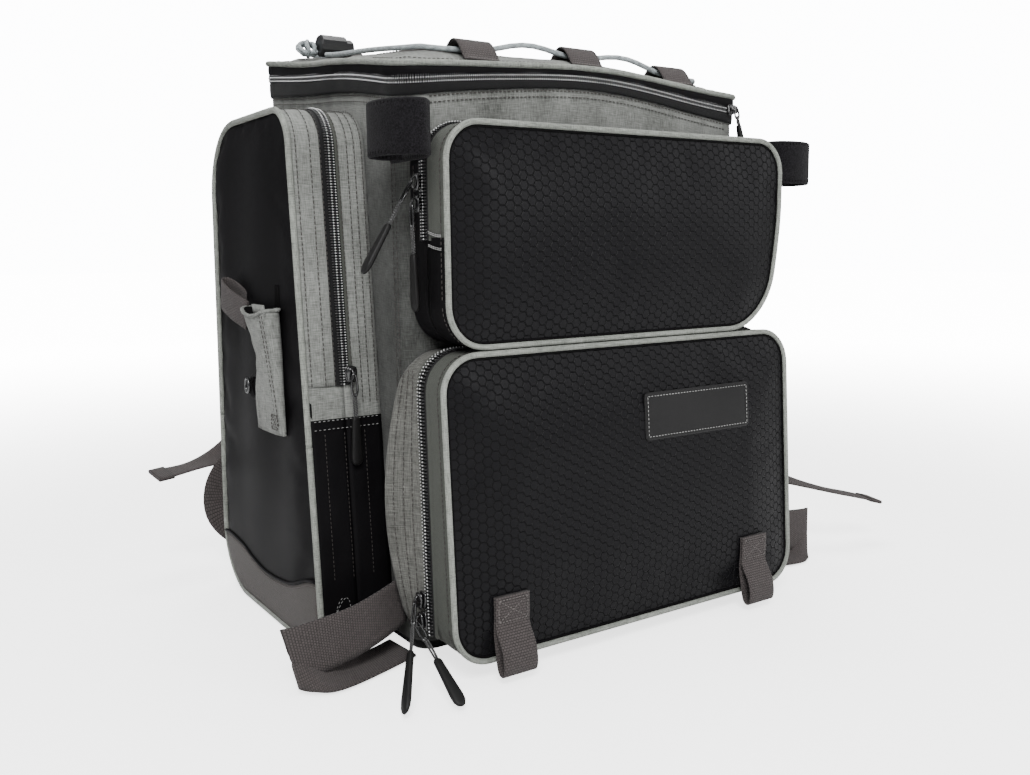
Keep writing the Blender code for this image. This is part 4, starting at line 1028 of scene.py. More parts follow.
def around_top(corners, radii, low_z, out, y_of, shift=0.0):
    """Zip line up one side, over the top and down the other, as points in space."""
    ring = rounded(corners, radii, 10, -out)
    upper = [p for p in ring if p[1] > (corners[0][1] + corners[2][1]) / 2]
    edge = corners[1][0] + out
    flat = [(edge, low_z), *upper, (-edge, low_z)]
    flat = resample(flat, 0.006)
    return [(x, y_of(z) + shift, z) for x, z in flat]


def front_pockets():
    top_zip = lambda z: TOP_ZIP_Y
    out_top = pocket("top", TOP_CORNERS, TOP_RADII, top_zip, lambda z: TOP_FACE_Y, None, "top_cover", 0.320,
                     top_taper)
    path = [(x - top_taper(x, z), y, z) for x, y, z in around_top(TOP_CORNERS, TOP_RADII, 0.318, 0.0006, top_zip)]
    # The inner tape is black as painted shade, standing in for the shadow beside the zip.
    zip_chain("top_zip_line", path, out_top, (0, -1, 0), ("top_cover", "pack"), (TAPE, TAPE_BLACK),
              width=0.0085, lift=0.0012, scale=1.25)
    out_low = pocket("low", LOW_CORNERS, LOW_RADII, low_zip_y, lambda z: lerp(LOW_FACE_Y, low_t(z)),
                     low_belly, "low_cover", None, lambda x, z: 0.0)
    tacks = []
    for z in (0.3235, 0.3145):
        for dz in (0.0, 0.0011):
            tacks.append(([(-TOP_X - 0.0016, -0.165 - 0.019 * q, z + dz - 0.0030 * math.sin(math.pi * q / 2))
                           for q in np.linspace(0, 1, 8)], (-1, 0, 0)))
    place(sewn("top_wall_tacks", tacks, PALE_THREAD, 0.0030, 0.0032, 0.0007), "top_cover")
    path = around_top(LOW_CORNERS, LOW_RADII, 0.030, 0.0006, low_zip_y)
    zip_chain("low_zip_line", path, out_low, (0, -1, 0), ("low_cover", "pack"), (TAPE, TAPE),
              width=0.0105, lift=0.0014, scale=1.40)
    place(sewn("gusset_seams", gusset_lines(), DARK_THREAD), "pack", ("top_zip", "low_zip"))

    x = -TOP_X - 0.0050
    y = TOP_ZIP_Y + 0.0045
    for name, z, end in (("upper", 0.359, (-0.214, y, 0.296)), ("lower", 0.344, (x - 0.0048, y - 0.004, 0.268))):
        slider_and_pull("top", name, (x, y, z), (x - 0.0040, y, z), end, (0, 1, 0))
    for name, z, end, side in (("upper", 0.056, (-0.226, -0.224, 0.0050), (0, 1, -0.4)),
                               ("lower", 0.041, (-0.1885, -0.236, 0.0050), (1, 0, 0))):
        y = low_zip_y(z) + 0.0045
        x = -LOW_X - 0.0056 - low_belly(y + 0.0045, 0.5 * (LOW_Z[0] + LOW_Z[1]))
        slider_and_pull("low", name, (x, y, z), (x - 0.0040, y - 0.001, z), end, side)


def slider_and_pull(prefix, name, centre, start, end, side):
    """One of a front pocket's two sliders, which meet nose to nose, and its pull."""
    x, y, z = centre
    tag = f"{prefix}_slider_{name}"
    up = 1 if name == "upper" else -1
    slider_piece(f"{tag}_piece", (x + 0.0016, y, z), (0, 0, up), (-1, 0, 0), tag, tag)
    pull = f"{prefix}_pull_{name}"
    pull_piece(f"{pull}_piece", start, end, side, pull, pull)


def gusset_lines():
    lines = []
    for sx in (-1, 1):
        for share in (0.42, 0.62, 0.82):
            pts = []
            for z in np.linspace(0.030, 0.226, 50):
                y = low_zip_y(z) + (-HALF_D - low_zip_y(z)) * share
                pts.append((sx * (LOW_X + low_belly(y, z) + 0.0009), y, z))
            lines.append((pts, (sx, -0.3, 0)))
        lines.append(([(sx * (TOP_X + 0.0007), -0.1445, z) for z in np.linspace(0.325, 0.372, 12)], (sx, 0, 0)))
    return lines


LABEL_X, LABEL_Z = (0.0050, 0.1150), (0.1630, 0.1950)


def front_trim():
    (x0, x1), (z0, z1) = LABEL_X, LABEL_Z
    corners = ((x0, z0), (x1, z0), (x1, z1), (x0, z1))
    lines = []
    for n, a in enumerate(corners):
        b = corners[(n + 1) % 4]
        pts = [(a[0] + (b[0] - a[0]) * k / 12, a[1] + (b[1] - a[1]) * k / 12) for k in range(13)]
        lines.append(([(x, low_face_y(x, z) - 0.0031, z) for x, z in pts], (0, -1, 0)))
    place(sewn("label_stitching", lines, PALE_THREAD, 0.0022, 0.0031, 0.0006), "low_cover")

    lines = []
    for side, x in (("left", -0.130), ("right", 0.121)):
        plane = LOW_FACE_Y[0]

        def face(z, x=x):
            return low_face_y(x, z)
        path = [(x, face(0.064) - 0.0012, 0.064), (x, face(0.050) - 0.0014, 0.050),
                (x, face(0.036) - 0.0018, 0.036), (x, plane - 0.0078, 0.022), (x, plane - 0.0095, 0.013),
                (x, plane - 0.0125, 0.0075), (x, plane - 0.0170, 0.0080), (x, plane - 0.0185, 0.015),
                (x, plane - 0.0160, 0.027), (x, face(0.040) - 0.0042, 0.040), (x, face(0.050) - 0.0034, 0.050),
                (x, face(0.064) - 0.0032, 0.064)]
        loop = ribbon(f"lash_{side}_webbing", smooth_path(path, 5), (1, 0, 0), 0.030, WEB_T, WEB)
        place(loop, "low_cover", (f"lash_loop_{side}",))
        corners = [(x + sx * 0.0125, face(z) - 0.0043, z) for sx, z in
                   ((-1, 0.045), (1, 0.045), (1, 0.0615), (-1, 0.0615))]
        lines += box_stitch(corners, (0, -1, 0.1))
    place(sewn("lash_stitching", lines, WEB_THREAD, 0.0020, 0.0028, 0.0006), "low_cover")


# ---------------------------------------------------------------- side pockets
def side_edge_y(z, back=False):
    foot, head = (SIDE_OUTLINE[1], SIDE_OUTLINE[2]) if back else (SIDE_OUTLINE[0], SIDE_OUTLINE[3])
    return foot[0] + (head[0] - foot[0]) * (z - foot[1]) / (head[1] - foot[1])


BOOT_LINE = smooth_path([(-0.099, 0.060, 0), (-0.081, 0.058, 0), (-0.045, 0.046, 0), (0.004, 0.041, 0),
                         (0.040, 0.045, 0), (0.066, 0.051, 0), (0.100, 0.053, 0), (0.128, 0.049, 0)], 8)


def boot_z(y):
    return float(np.interp(y, [p.x for p in BOOT_LINE], [p.y for p in BOOT_LINE]))


def low_outline_z(y, ring):
    best = None
    for a, b in zip(ring, np.roll(ring, -1, axis=0)):
        if (a[0] - y) * (b[0] - y) <= 0 and a[0] != b[0]:
            z = a[1] + (b[1] - a[1]) * (y - a[0]) / (b[0] - a[0])
            best = z if best is None else min(best, z)
    return best


def side_pocket(side, sign):
    flap = f"side_{side}_flap"
    ring, normals = outline(SIDE_OUTLINE, SIDE_RADII, 0.005)
    centre = (sign * 0.19, 0.0, 0.2)

    def panel_point(y, z, d):
        hold = min(d / WRINKLE_REACH, 1.0)
        fold = 0.0014 * math.sin((y + 0.15 * z) * 62 + sign) * hold * min(max((z - 0.05) / 0.1, 0), 1)
        return (sign * (SIDE_X + crown(d, SIDE_CROWN, 0.05) + fold), y, z)

    flat, edge = draped(SIDE_OUTLINE, SIDE_RADII, 0.006, panel_point)
    panel = surface(f"side_{side}_panel", flat, COATED, away=(0, 0, 0.2), uv=lambda p: (p[1], p[2]))
    soften(panel, edge, 0.3, 0.010, 0.0025)
    thicken(panel, 0.0025, SHADOW)
    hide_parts(f"side_{side}_cover")
    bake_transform(panel)

    def wall(name, x0, x1, low, high, steps, body, replaces=(), limit=0.182, bulge=0.0):
        rows = []
        keep = [k for k in range(len(ring)) if low <= ring[k][1] <= high]
        if len(keep) < len(ring):
            keep = stretch(keep, len(ring))
        for k in range(steps + 1):
            x = x0 + (x1 - x0) * k / steps
            t = math.sin(math.pi * k / steps)
            row = []
            for j in keep:
                y, z = ring[j]
                ny, nz = normals[j]
                out = bulge * t + 0.0011 * t * ripple((x * 2, y, z), 0.028, 6.0)
                row.append((sign * x, y + ny * out, z + nz * out))
            rows.append(row)
        obj = surface(name, rows, GREY, ring=len(keep) == len(ring), away=centre)
        obj.data.materials.append(COATED)
        for poly in obj.data.polygons:
            if poly.center.z < limit and poly.center.y < 0.09:
                poly.material_index = 1
        return place(thicken(obj, 0.002, SHADOW), body, replaces)

    wall(f"side_{side}_gusset_inner", 0.1705, SIDE_ZIP_X, -1, 1, 8, "pack", (f"side_{side}_pocket",),
         bulge=0.0010)
    wall(f"side_{side}_gusset_low", SIDE_ZIP_X, SIDE_X, -1, SIDE_ZIP_END_Z + 0.003, 8, "pack")
    wall(f"side_{side}_gusset_outer", SIDE_ZIP_X + 0.0003, SIDE_X, SIDE_ZIP_END_Z - 0.002, 1, 8, flap,
         bulge=0.0008)

    out_of = outward_of(ring, normals, (1, 2))
    order = stretch([k for k in range(len(ring)) if ring[k][1] > SIDE_ZIP_END_Z], len(ring))

    def offset_line(x, keep, out=0.0012):
        return [(sign * x, ring[k][0] + normals[k][0] * out, ring[k][1] + normals[k][1] * out) for k in keep]

    zip_chain(f"side_{side}_zip", offset_line(SIDE_ZIP_X, order, 0.0010), out_of, (sign, 0, 0), (flap, "pack"),
              (TAPE_BLACK, TAPE), width=0.0072, lift=0.0012, scale=1.15)
    long = stretch([k for k in range(len(ring)) if ring[k][1] > 0.19], len(ring))
    place(sewn(f"side_{side}_outer_seams", [(offset_line(0.2075, order, 0.0018), out_of),
                                            (offset_line(0.2155, order, 0.0018), out_of),
                                            (offset_line(0.2265, order, 0.0012), out_of)], DARK_THREAD), flap)
    place(sewn(f"side_{side}_inner_seams", [(offset_line(x, long, 0.0020), out_of) for x in
                                            (0.1935, 0.1860, 0.1800, 0.1740)], DARK_THREAD), "pack")

    def front_y(z):
        return side_edge_y(z) - 0.0016

    lines = [([(sign * x, front_y(z), z) for x in np.linspace(0.173, 0.228, 20)], (0, -1, 0))
             for z in (0.1835, 0.1770)]
    for x in (0.186, 0.203, 0.219):
        lines.append(([(sign * x, front_y(z), z) for z in np.linspace(0.060, 0.174, 30)], (0, -1, 0)))
    for x, z0 in ((0.180, 0.050), (0.197, 0.045), (0.213, 0.052)):
        lines.append(([(sign * (x + 0.006 * math.sin(t * 4)), front_y(z0), z0 - 0.012 + 0.006 * math.cos(t * 7))
                       for t in np.linspace(0, 1.5, 12)], (0, -1, 0)))
    pale = lines[:2] + lines[5:]
    place(sewn(f"side_{side}_foot_stitches", pale, PALE_THREAD, 0.0020, 0.0036, 0.0005), "pack")
    place(sewn(f"side_{side}_foot_seams", lines[2:5], DARK_THREAD, 0.0022, 0.0034, 0.0005), "pack")
    pipe = outline(SIDE_OUTLINE, SIDE_RADII, 0.004, 0.0003)[0]
    above = stretch([k for k in range(len(pipe)) if pipe[k][1] > SIDE_FOLD_Z + 0.001], len(pipe))
    below = [(above[-1] + n) % len(pipe) for n in range(len(pipe) - len(above) + 2)]
    x = sign * (SIDE_X + 0.0016)
    place(tube(f"side_{side}_piping_upper", [(x, *pipe[k]) for k in above], PIPING_R + 0.0003, PIPE, 10), flap,
          (f"side_{side}_piping",))
    place(tube(f"side_{side}_piping_lower", [(x, *pipe[k]) for k in below], PIPING_R + 0.0003, PIPE, 10), "pack",
          ())

    # Boot patch along the foot of the outer panel.
    rows = []
    ys = np.linspace(side_edge_y(0.055) + 0.0025, side_edge_y(0.05, True) - 0.003, 64)
    for k in range(9):
        t = k / 8
        row = []
        for y in ys:
            bottom = (low_outline_z(y, ring) or 0.02) + 0.001
            z = bottom + (boot_z(y) - bottom) * t
            d = min(z - bottom + 0.002, y - side_edge_y(z), side_edge_y(z, True) - y)
            row.append((sign * (SIDE_X + crown(d, SIDE_CROWN, 0.05) + 0.0026), y, z))
        rows.append(row)
    boot = surface(f"side_{side}_boot", rows, BOOT, away=(0, 0, 0.05), uv=lambda p: (p[1] + p[2], p[1] - p[2]))
    place(thicken(boot, 0.0020), "pack", ())
    seam = [(sign * (SIDE_X + crown(min(y - side_edge_y(boot_z(y)), side_edge_y(boot_z(y), True) - y, 0.04),
                                    SIDE_CROWN, 0.05) + 0.0026), y, boot_z(y) + 0.0008) for y in ys]
    place(tube(f"side_{side}_boot_piping", seam, 0.0015, COATED, 8), "pack")
    below_seam = [(p[0] + sign * 0.0004, p[1], p[2] - 0.0042) for p in seam]
    place(sewn(f"side_{side}_boot_seam", [(below_seam, (sign, 0, 0))], WEB_THREAD), "pack")

    z = SIDE_ZIP_END_Z + 0.010
    y = side_edge_y(z) - 0.0054
    x = sign * (SIDE_ZIP_X - 0.0050)
    tag = f"side_{side}_slider"
    slider_piece(f"{tag}_piece", (x, y + 0.0014, z), (0, 0, 1), (0, -1, 0), tag, tag)
    pull_piece(f"side_{side}_pull_piece", (x, y - 0.0044, z), (x, y - 0.0048, z - 0.070), (1, 0, 0),
               f"side_{side}_pull", f"side_{side}_pull")


# ---------------------------------------------------------------- straps, loops and the tool holder
def rod_strap(side, sign, reach, depth, z):
    x, y = 0.1722, -0.1215
    plan = [(x, y), (x + 0.0005, y - 0.34 * depth), (x + 0.0012, y - 0.70 * depth), (x + 0.008, y - 0.93 * depth),
            (x + 0.50 * reach, y - depth), (x + 0.86 * reach, y - 0.87 * depth), (x + reach, y - 0.62 * depth),
            (x + 0.92 * reach, y - 0.42 * depth), (x + 0.58 * reach, y - 0.31 * depth),
            (x + 0.012, y - 0.31 * depth), (x + 0.0052, y - 0.36 * depth)]
    path = smooth_path([(sign * px, py, z) for px, py in plan], 6)
    strap = ribbon(f"rod_strap_{side}_fabric", path, (0, 0, 1), 0.037, 0.0024, FUZZ, 8)
    place(strap, f"rod_strap_{side}", (f"rod_strap_{side}",))
    middle = (sign * (x + 0.5 * reach), y - 0.65 * depth)
    hem = [([tuple(p + Z * off) for p in path], lambda q: (q[0] - middle[0], q[1] - middle[1], 0))
           for off in (-0.0160, 0.0160)]
    place(sewn(f"rod_strap_{side}_hem", hem, SHADOW, 0.0024, 0.0034, 0.0030), f"rod_strap_{side}")


def rod_butt_loop(side, sign):
    edges = [((-0.1735, -0.1260, 0.0645), (-0.1735, -0.1265, 0.0270)),
             ((-0.1980, -0.1345, 0.0590), (-0.1980, -0.1370, 0.0215)),
             ((-0.2240, -0.1385, 0.0530), (-0.2230, -0.1420, 0.0155)),
             ((-0.2500, -0.1400, 0.0500), (-0.2470, -0.1440, 0.0115)),
             ((-0.2700, -0.1405, 0.0485), (-0.2630, -0.1450, 0.0085)),
             ((-0.2770, -0.1385, 0.0478), (-0.2690, -0.1455, 0.0050)),
             ((-0.2755, -0.1345, 0.0455), (-0.2655, -0.1500, 0.0032)),
             ((-0.2630, -0.1300, 0.0340), (-0.2580, -0.1570, 0.0028)),
             ((-0.2450, -0.1260, 0.0160), (-0.2480, -0.1610, 0.0028)),
             ((-0.2240, -0.1210, 0.0055), (-0.2310, -0.1590, 0.0028)),
             ((-0.2000, -0.1120, 0.0035), (-0.2020, -0.1500, 0.0028)),
             ((-0.1760, -0.1020, 0.0035), (-0.1720, -0.1390, 0.0028))]
    tops, bottoms = ([(x * -sign, y, z) for x, y, z in line] for line in zip(*edges))
    loop = ruled(f"rod_butt_{side}_webbing", tops, bottoms, 0.0019, WEB)
    place(loop, f"rod_butt_loop_{side}", (f"rod_butt_loop_{side}",))


def tool_holder():
    face = -(SIDE_X + SIDE_CROWN + 0.0003)
    right = -0.0535
    edge = ((0.0, 0.003), (0.18, 0.0035), (0.42, -0.006), (0.62, -0.0155), (0.80, -0.009), (1.0, 0.002))
    outer = []
    for k in range(30):
        t = k / 29
        left = float(np.interp(t, [a for a, _ in edge], [b for _, b in edge]))
        half, y = (left - right) / 2, (left + right) / 2
        depth = 0.0075 + 0.0105 * t ** 1.3
        row = []
        for j in range(48):
            a = 2 * math.pi * j / 48
            c, s = math.cos(a), math.sin(a)
            u = math.copysign(abs(c) ** 0.62, c)
            v = math.copysign(abs(s) ** 0.72, s)
            out = 0.0013 * ripple((y + half * u, v, 0.171 + 0.1 * t), 0.018, 8.0) * (v > -0.3)
            sag = 0.005 * t * t * math.cos(u * math.pi / 2) * max(v, 0.0)
            row.append((face - depth / 2 * (1 + v) - out, y + half * u, 0.1685 + 0.0985 * t - sag))
        outer.append(row)
    sleeve = surface("tool_sleeve_fabric", outer, GREY, ring=True, away=(face - 0.006, -0.030, 0.2))
    place(thicken(sleeve, 0.0016, SHADOW), "side_left_flap", ("tool_sleeve",))
    place(tube("tool_sleeve_binding", outer[-1], 0.0014, GREY, 8, True), "side_left_flap")
    tab = [[(face - 0.0015 - 0.0150 * q, right + 0.002 + 0.024 * w, 0.262 + 0.009 * h)
            for w in (0, 0.35, 0.7, 1.0)] for h, q in ((0.0, 0.9), (0.5, 0.95), (1.0, 1.0))]
    tab = surface("tool_sleeve_tab", tab, GREY, away=(face + 0.1, -0.04, 0.26))
    place(thicken(tab, 0.0016), "side_left_flap")
    lines = []
    for y in (-0.0500, -0.0445):
        path = []
        for k in range(2, 29):
            t = k / 29
            path.append((face - 0.0075 - 0.0105 * t ** 1.3 + 0.0004, y, 0.1685 + 0.0985 * t))
        lines.append((path, (-1, 0, 0)))
    place(sewn("tool_sleeve_seams", lines, DARK_THREAD), "side_left_flap")
    box = [(face - 0.0092, y, z) for y, z in ((-0.0525, 0.1735), (-0.0400, 0.1735), (-0.0400, 0.1850),
                                              (-0.0525, 0.1850))]
    place(sewn("tool_sleeve_tack", box_stitch(box, (-1, 0, 0)), DARK_THREAD, 0.0020, 0.0026), "side_left_flap")
    # Painted shade: a black sheet above the sleeve's mouth, standing in for the dark inside of the opening.
    gap = [[(face - 0.0012, y, z) for y in np.linspace(-0.046, -0.004 + 0.012 * h, 6)]
           for z, h in ((0.255, 0.0), (0.270, 0.5), (0.286, 0.9))]
    place(thicken(surface("tool_sleeve_opening_shade", gap, SHADOW, away=(0, 0, 0.26)), 0.0008), "side_left_flap")
    elastic = smooth_path([(face - 0.0015, 0.000, 0.2100), (face - 0.0030, 0.012, 0.2095),
                           (face - 0.0050, 0.019, 0.2010), (face - 0.0030, 0.013, 0.1920),
                           (face - 0.0015, 0.000, 0.1900)], 6)
    bits = [ribbon("elastic", elastic, (-1, 0, 0.05), 0.0060, 0.0014, TAPE_BLACK)]
    bits.append(tube("ring", [(face - 0.0075, 0.0185 + 0.0042 * math.cos(a), 0.2010 + 0.0058 * math.sin(a))
                              for a in (2 * math.pi * k / 20 for k in range(20))], 0.0012, PAINT, 8, True))
    place(join("tool_clip", bits), "side_left_flap")
    route = [(face - 0.0012, 0.0035, 0.2600), (face - 0.0014, 0.0250, 0.2660), (face - 0.0030, 0.0480, 0.2740),
             (face - 0.0075, 0.0600, 0.2780), (face - 0.0130, 0.0560, 0.2760), (face - 0.0130, 0.0330, 0.2680),
             (face - 0.0095, 0.0035, 0.2600)]
    loop = ribbon("tool_loop_webbing", smooth_path(route, 6), (0.0, -0.25, 1.0), 0.025, 0.0017, WEB)
    place(loop, "side_left_flap", ("tool_loop",))


# ---------------------------------------------------------------- back and harness
PAD_EDGE, PAD_RISE, GROOVE_PITCH = 0.018, 0.0145, 0.058


def cushion(name, x0, x1, z0, z1, radius):
    corners = ((x0, z0), (x1, z0), (x1, z1), (x0, z1))

    def pad_point(x, z, d):
        """Round edges, and on a tall pad a sewn groove at every pitch."""
        share = min(d / PAD_EDGE, 1.0)
        across = (z - z0) % GROOVE_PITCH - GROOVE_PITCH / 2
        groove = 0.0022 * math.exp(-(abs(across) / 0.004) ** 2) if z1 - z0 > 0.15 else 0.0
        return (x, HALF_D + 0.0036 + PAD_RISE * (1 - (1 - share) ** 2) ** 0.5 - groove * share, z)

    rows, edge = draped(corners, (radius,) * 4, 0.006, pad_point)
    pad = surface(name, rows, MESH, away=(0, 0, 0.2), uv=lambda p: (p[0], p[2]))
    soften(pad, edge, 0.6, 0.006, 0.0012)
    place(pad, "pack", ())
    ring, _ = outline(corners, (radius,) * 4, 0.004, 0.0004)
    binding = [(x, HALF_D + 0.0040, z) for x, z in ring]
    place(tube(f"{name}_binding", binding, 0.0016, TAPE_BLACK, 8, True), "pack")


STRAP_ROUTE = ((0.070, 0.1490, 0.4300), (0.076, 0.1580, 0.4120), (0.084, 0.1700, 0.3900),
               (0.093, 0.1780, 0.3600), (0.100, 0.1780, 0.3200), (0.105, 0.1780, 0.2800),
               (0.111, 0.1780, 0.2400), (0.122, 0.1740, 0.2050), (0.140, 0.1700, 0.1760))
LOCK_CENTRE = Vector((0.1535, 0.1685, 0.1615))
LOCK_DOWN = Vector((0.70, 0.0, -0.714)).normalized()
WEB_LOW = ((0.1640, 0.1425, 0.0270), (0.1900, 0.1490, 0.0290), (0.2140, 0.1550, 0.0390),
           (0.2290, 0.1590, 0.0600), (0.2270, 0.1610, 0.0870), (0.2080, 0.1620, 0.1120))
WEB_TURN = ((0.0330, 0.1625), (0.0120, 0.1634), (0.0040, 0.1636), (0.0004, 0.1655), (-0.0010, 0.1687),
            (0.0004, 0.1719), (0.0040, 0.1738), (0.0120, 0.1742))
TAIL_LEFT = (((0.1960, 0.1755, 0.1260), 0.2), ((0.2200, 0.1740, 0.1130), 0.6), ((0.2500, 0.1690, 0.1060), 0.9),
             ((0.2860, 0.1620, 0.1030), 0.8))
TAIL_RIGHT = (((0.2000, 0.1770, 0.1300), 0.2), ((0.2380, 0.1660, 0.1180), 0.3), ((0.2560, 0.1240, 0.1090), 0.5),
              ((0.2620, 0.0600, 0.0990), 0.5), ((0.2620, 0.0000, 0.0900), 0.5), ((0.2660, -0.0600, 0.0800), 0.6),
              ((0.2800, -0.1040, 0.0710), 0.8), ((0.3080, -0.1340, 0.0615), 0.9), ((0.3400, -0.1450, 0.0530), 0.9),
              ((0.3680, -0.1500, 0.0450), 0.9))


def shoulder_strap(side, sign):
    path = smooth_path(STRAP_ROUTE, 6)
    rows, edges = [], [[], []]
    webbing = []
    for i, p in enumerate(path):
        t = (path[min(i + 1, len(path) - 1)] - path[max(i - 1, 0)]).normalized()
        across = (X - t * X.dot(t)).normalized()
        n = t.cross(across)
        s = i / (len(path) - 1)
        half = 0.031 * (1 - 0.45 * max(0.0, s - 0.75) / 0.25)
        row = []
        for k in range(32):
            a = 2 * math.pi * k / 32
            u = math.copysign(abs(math.cos(a)) ** 0.55, math.cos(a))
            v = math.copysign(abs(math.sin(a)) ** 0.75, math.sin(a))
            q = p + across * (half * u) + n * (0.0048 * v * (1 + 0.06 * ripple(p, 0.03)))
            row.append((sign * q.x, q.y, q.z))
        rows.append(row)
        for e, u in zip(edges, (-1, 1)):
            q = p + across * (half * u * 0.99)
            e.append((sign * q.x, q.y, q.z))
        q = p - n * 0.0056 if n.y < 0 else p + n * 0.0056
        webbing.append((sign * q.x, q.y, q.z))
    pad = outward(surface(f"shoulder_{side}_pad", rows, MESH, ring=True, caps=True))
    place(pad, "harness", (f"shoulder_strap_{side}",))
    for e, tag in zip(edges, ("a", "b")):
        place(tube(f"shoulder_{side}_binding_{tag}", e, 0.0022, TAPE_BLACK, 8), "harness")
    strip = ribbon(f"shoulder_{side}_webbing", webbing, (1, 0, 0), 0.025, 0.0016, WEB)
    place(strip, "harness", ())
    lines = []
    for i in range(8, len(webbing) - 3, 7):
        x, y, z = webbing[i]
        if 0.284 < z < 0.346:
            continue
        lines += [([(x - 0.011, y + 0.0011, z + dz), (x + 0.011, y + 0.0011, z + dz)], (0, 1, 0))
                  for dz in (0, 0.004)]
    place(sewn(f"shoulder_{side}_bars", lines, WEB_THREAD, 0.0022, 0.0030, 0.0006), "harness")


def lock_point(across, down, y):
    p = LOCK_CENTRE + LOCK_DOWN.cross(Y) * across + LOCK_DOWN * down
    return (p.x, y, p.z)


def strap_web(side, sign, tail):
    route = [(p, 0.0) for p in WEB_LOW] + [(lock_point(0.0, v, y), 0.0) for v, y in WEB_TURN] + list(tail)
    span = 5
    path = smooth_path([p for p, _ in route], span)
    twist = [p.x for p in smooth_path([(t, 0.0, 0.0) for _, t in route], span)]
    first = span * len(WEB_LOW)
    last = first + span * (len(WEB_TURN) - 1)
    across = []
    for i, p in enumerate(path):
        if first <= i <= last:
            across.append(LOCK_DOWN.cross(Y))
            continue
        ahead = path[min(i + 1, len(path) - 1)] - path[max(i - 1, 0)]
        flat = ahead.normalized().cross(Y)
        if across and flat.dot(across[-1]) < 0:
            flat = -flat
        level = Y if not across or Y.dot(across[-1]) >= 0 else -Y
        across.append(flat.normalized() * (1 - twist[i]) + level * twist[i])
    points = [tuple(p) for p in path]
    across = [tuple(a) for a in across]
    if sign < 0:
        points, across = flip_x(points), flip_x(across)
    web = ribbon(f"strap_{side}_webbing", points, across, 0.025, WEB_T, WEB)
    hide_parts(f"strap_web_{side}")
    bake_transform(web)
    tip = Vector(points[-1])
    back = (Vector(points[-1]) - Vector(points[-4])).normalized()
    fold = ribbon(f"strap_{side}_tip", [tip - back * 0.014, tip - back * 0.002, tip + back * 0.0005], across[-1],
                  0.0256, 0.0036, WEB)
    place(fold, "harness")


def back():
    sheet = surface("back_sheet", [[(x, HALF_D + 0.0030, z) for x in np.linspace(-0.134, 0.134, 28)]
                                   for z in np.linspace(0.030, 0.440, 42)], MESH, away=(0, 0, 0.2))
    place(thicken(sheet, 0.0026, SHADOW), "pack", ("back_panel",))
    ring, _ = outline(((-0.134, 0.030), (0.134, 0.030), (0.134, 0.440), (-0.134, 0.440)), (0.004,) * 4, 0.006)
    binding = [(x, HALF_D + 0.0028, z) for x, z in ring]
    place(tube("back_sheet_binding", binding, 0.0018, TAPE_BLACK, 8, True), "pack")
    cushion("back_pad_left", -0.128, -0.014, 0.150, 0.395, 0.020)
    cushion("back_pad_right", 0.014, 0.128, 0.150, 0.395, 0.020)
    cushion("back_pad_low", -0.128, 0.128, 0.035, 0.138, 0.025)
    for side, sign in (("left", -1), ("right", 1)):
        shoulder_strap(side, sign)
    strap_web("left", -1, TAIL_LEFT)
    strap_web("right", 1, TAIL_RIGHT)
    for side, x0, x1 in (("left", -0.122, -0.008), ("right", 0.009, 0.122)):
        path = [(x0 + (x1 - x0) * k / 20, 0.1843, 0.300) for k in range(21)]
        web = ribbon(f"sternum_{side}_webbing", path, (0, 0, 1), 0.020, 0.0015, WEB)
        place(web, "sternum_strap", (f"sternum_web_{side}",))


def repaint(node, look, bevel=0.0):
    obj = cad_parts[node]
    obj.data.materials.clear()
    obj.data.materials.append(look)
    if bevel:
        mod = obj.modifiers.new("edge", "BEVEL")
        mod.width = bevel
        mod.segments = 2
        mod.limit_method = "ANGLE"


def rigid_parts():
    for node in ("ladder_lock_left", "ladder_lock_right", "sternum_buckle_socket", "sternum_buckle_prong"):
        repaint(node, PLASTIC, 0.0006)
    for node in ("cord_lock_barrel", "cord_lock_plunger"):
        repaint(node, PLASTIC, 0.0004)
    repaint("cord_lock_spring", COIL)
    repaint("back_stiffener", SHADOW)
    repaint("base_panel", BASE, 0.001)
    repaint("label_patch", LABEL, 0.0005)


# ---------------------------------------------------------------- floor, light, camera
# Each lamp: name, place, size in metres, power in watts.
LAMPS = (("key", (-1.1, -1.7, 1.9), 0.9, 96), ("fill", (1.9, -1.4, 1.0), 1.4, 16),
         ("top", (0.1, 0.3, 2.2), 1.2, 40), ("rim", (-1.7, 0.8, 1.1), 1.0, 6),
         ("glance", (0.30, -1.30, 0.62), 0.30, 5), ("behind", (0.7, 2.2, 1.3), 1.2, 24))
LAMP_TARGET = Vector((0, 0, 0.22))
CAMERA_PLACE, CAMERA_YAW_PITCH_ROLL, CAMERA_LENS = (-0.5086, -0.7833, 0.3139), (33.7755, 8.1744, -0.645), 34.49
SKY_LIGHT, SKY_SEEN = 0.33, 14.0


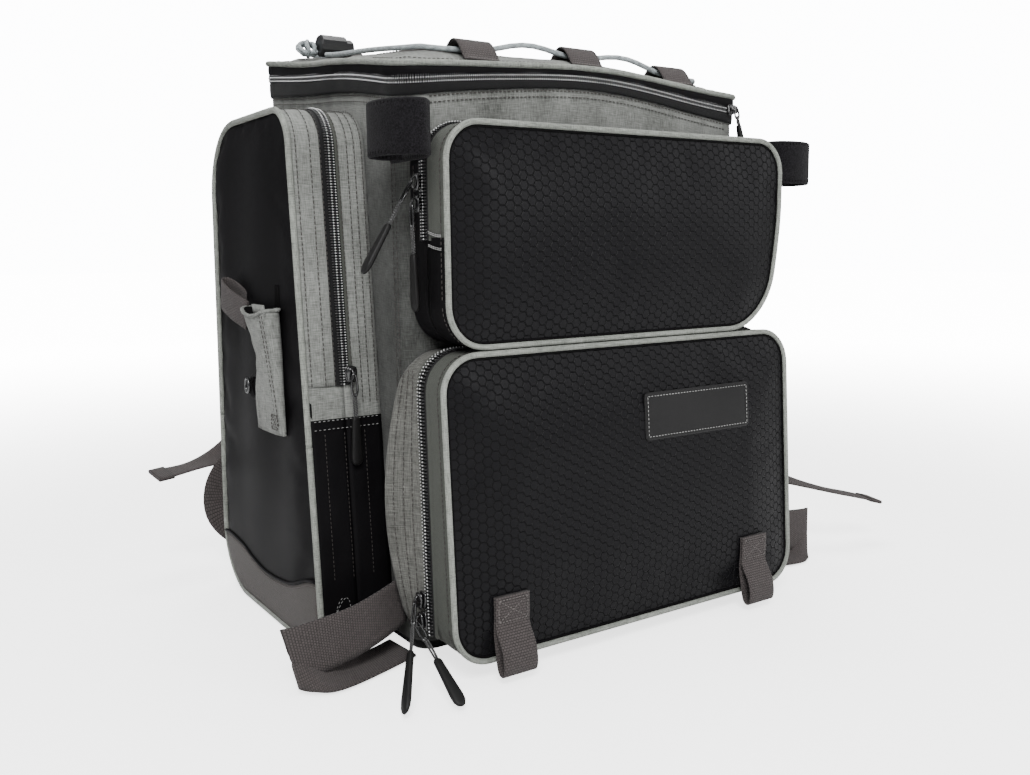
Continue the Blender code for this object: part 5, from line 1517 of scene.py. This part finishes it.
def studio():
    pale = Look("floor", (0.92, 0.92, 0.92), 0.9, specular=0.0)
    far = pale.vector("LENGTH", pale.place((1, 1, 1), "Object"), out="Value")
    glow = pale.add("ShaderNodeMapRange", {0: far, 1: 0.45, 2: 2.6, 3: 2.2, 4: SKY_SEEN},
                    interpolation_type="SMOOTHSTEP")
    eye = pale.add("ShaderNodeLightPath").outputs["Is Camera Ray"]
    pale.shader.inputs["Emission Color"].default_value = (1, 1, 1, 1)
    pale.tree.links.new(pale.math("MULTIPLY", glow.outputs[0], eye), pale.shader.inputs["Emission Strength"])
    floor = make_mesh("studio_floor", [(-9, -9, -0.0005), (9, -9, -0.0005), (9, 14, -0.0005), (-9, 14, -0.0005)],
                      [(0, 1, 2, 3)], pale.mat)
    world = bpy.data.worlds.new("studio")
    bpy.context.scene.world = world
    world.use_nodes = True
    sky = world.node_tree.nodes["Background"]
    sky.inputs[0].default_value = (0.97, 0.98, 1.0, 1)
    seen = world.node_tree.nodes.new("ShaderNodeMapRange")
    path = world.node_tree.nodes.new("ShaderNodeLightPath")
    seen.inputs[3].default_value = SKY_LIGHT
    seen.inputs[4].default_value = SKY_SEEN
    world.node_tree.links.new(path.outputs["Is Camera Ray"], seen.inputs[0])
    world.node_tree.links.new(seen.outputs[0], sky.inputs[1])
    for name, at, size, power in LAMPS:
        data = bpy.data.lights.new(name, "AREA")
        data.energy = power
        data.size = size
        lamp = bpy.data.objects.new(name, data)
        lamp.location = at
        lamp.rotation_euler = (LAMP_TARGET - Vector(at)).to_track_quat("-Z", "Y").to_euler()
        bpy.context.scene.collection.objects.link(lamp)
    data = bpy.data.cameras.new("camera")
    data.lens = CAMERA_LENS
    data.sensor_width = 36.0
    camera = bpy.data.objects.new("camera", data)
    yaw, pitch, roll = (math.radians(a) for a in CAMERA_YAW_PITCH_ROLL)
    d = Vector((math.sin(yaw) * math.cos(pitch), math.cos(yaw) * math.cos(pitch), -math.sin(pitch)))
    r = Vector((math.cos(yaw), -math.sin(yaw), 0))
    u = r.cross(d)
    c, s = math.cos(roll), math.sin(roll)
    r, u = r * c + u * s, u * c - r * s
    px, py, pz = CAMERA_PLACE
    camera.matrix_world = Matrix(((r.x, u.x, -d.x, px), (r.y, u.y, -d.y, py), (r.z, u.z, -d.z, pz),
                                  (0, 0, 0, 1)))
    bpy.context.scene.collection.objects.link(camera)
    bpy.context.scene.camera = camera


studio()
body()
lid()
lid_fittings()
cord_knot()
handle()
front_pockets()
front_trim()
for side, sign in (("left", -1), ("right", 1)):
    side_pocket(side, sign)
rod_strap("left", -1, 0.036, 0.076, 0.3925)
rod_strap("right", 1, 0.056, 0.060, 0.3840)
rod_butt_loop("left", -1)
rod_butt_loop("right", 1)
tool_holder()
back()
z = ZIP[0] + 0.0005
slider_piece("lid_slider_piece", (0.156, -HALF_D - 0.0026, z), (-1, 0, 0), (0, -1, 0), "lid_zip_slider",
             "lid_slider")
pull_piece("lid_pull_piece", (0.156, -HALF_D - 0.0084, z), (0.163, -HALF_D - 0.0090, z - 0.030), (1, 0, 0),
           "lid_zip_pull", "lid_pull", 0.3, 0.006)
rigid_parts()
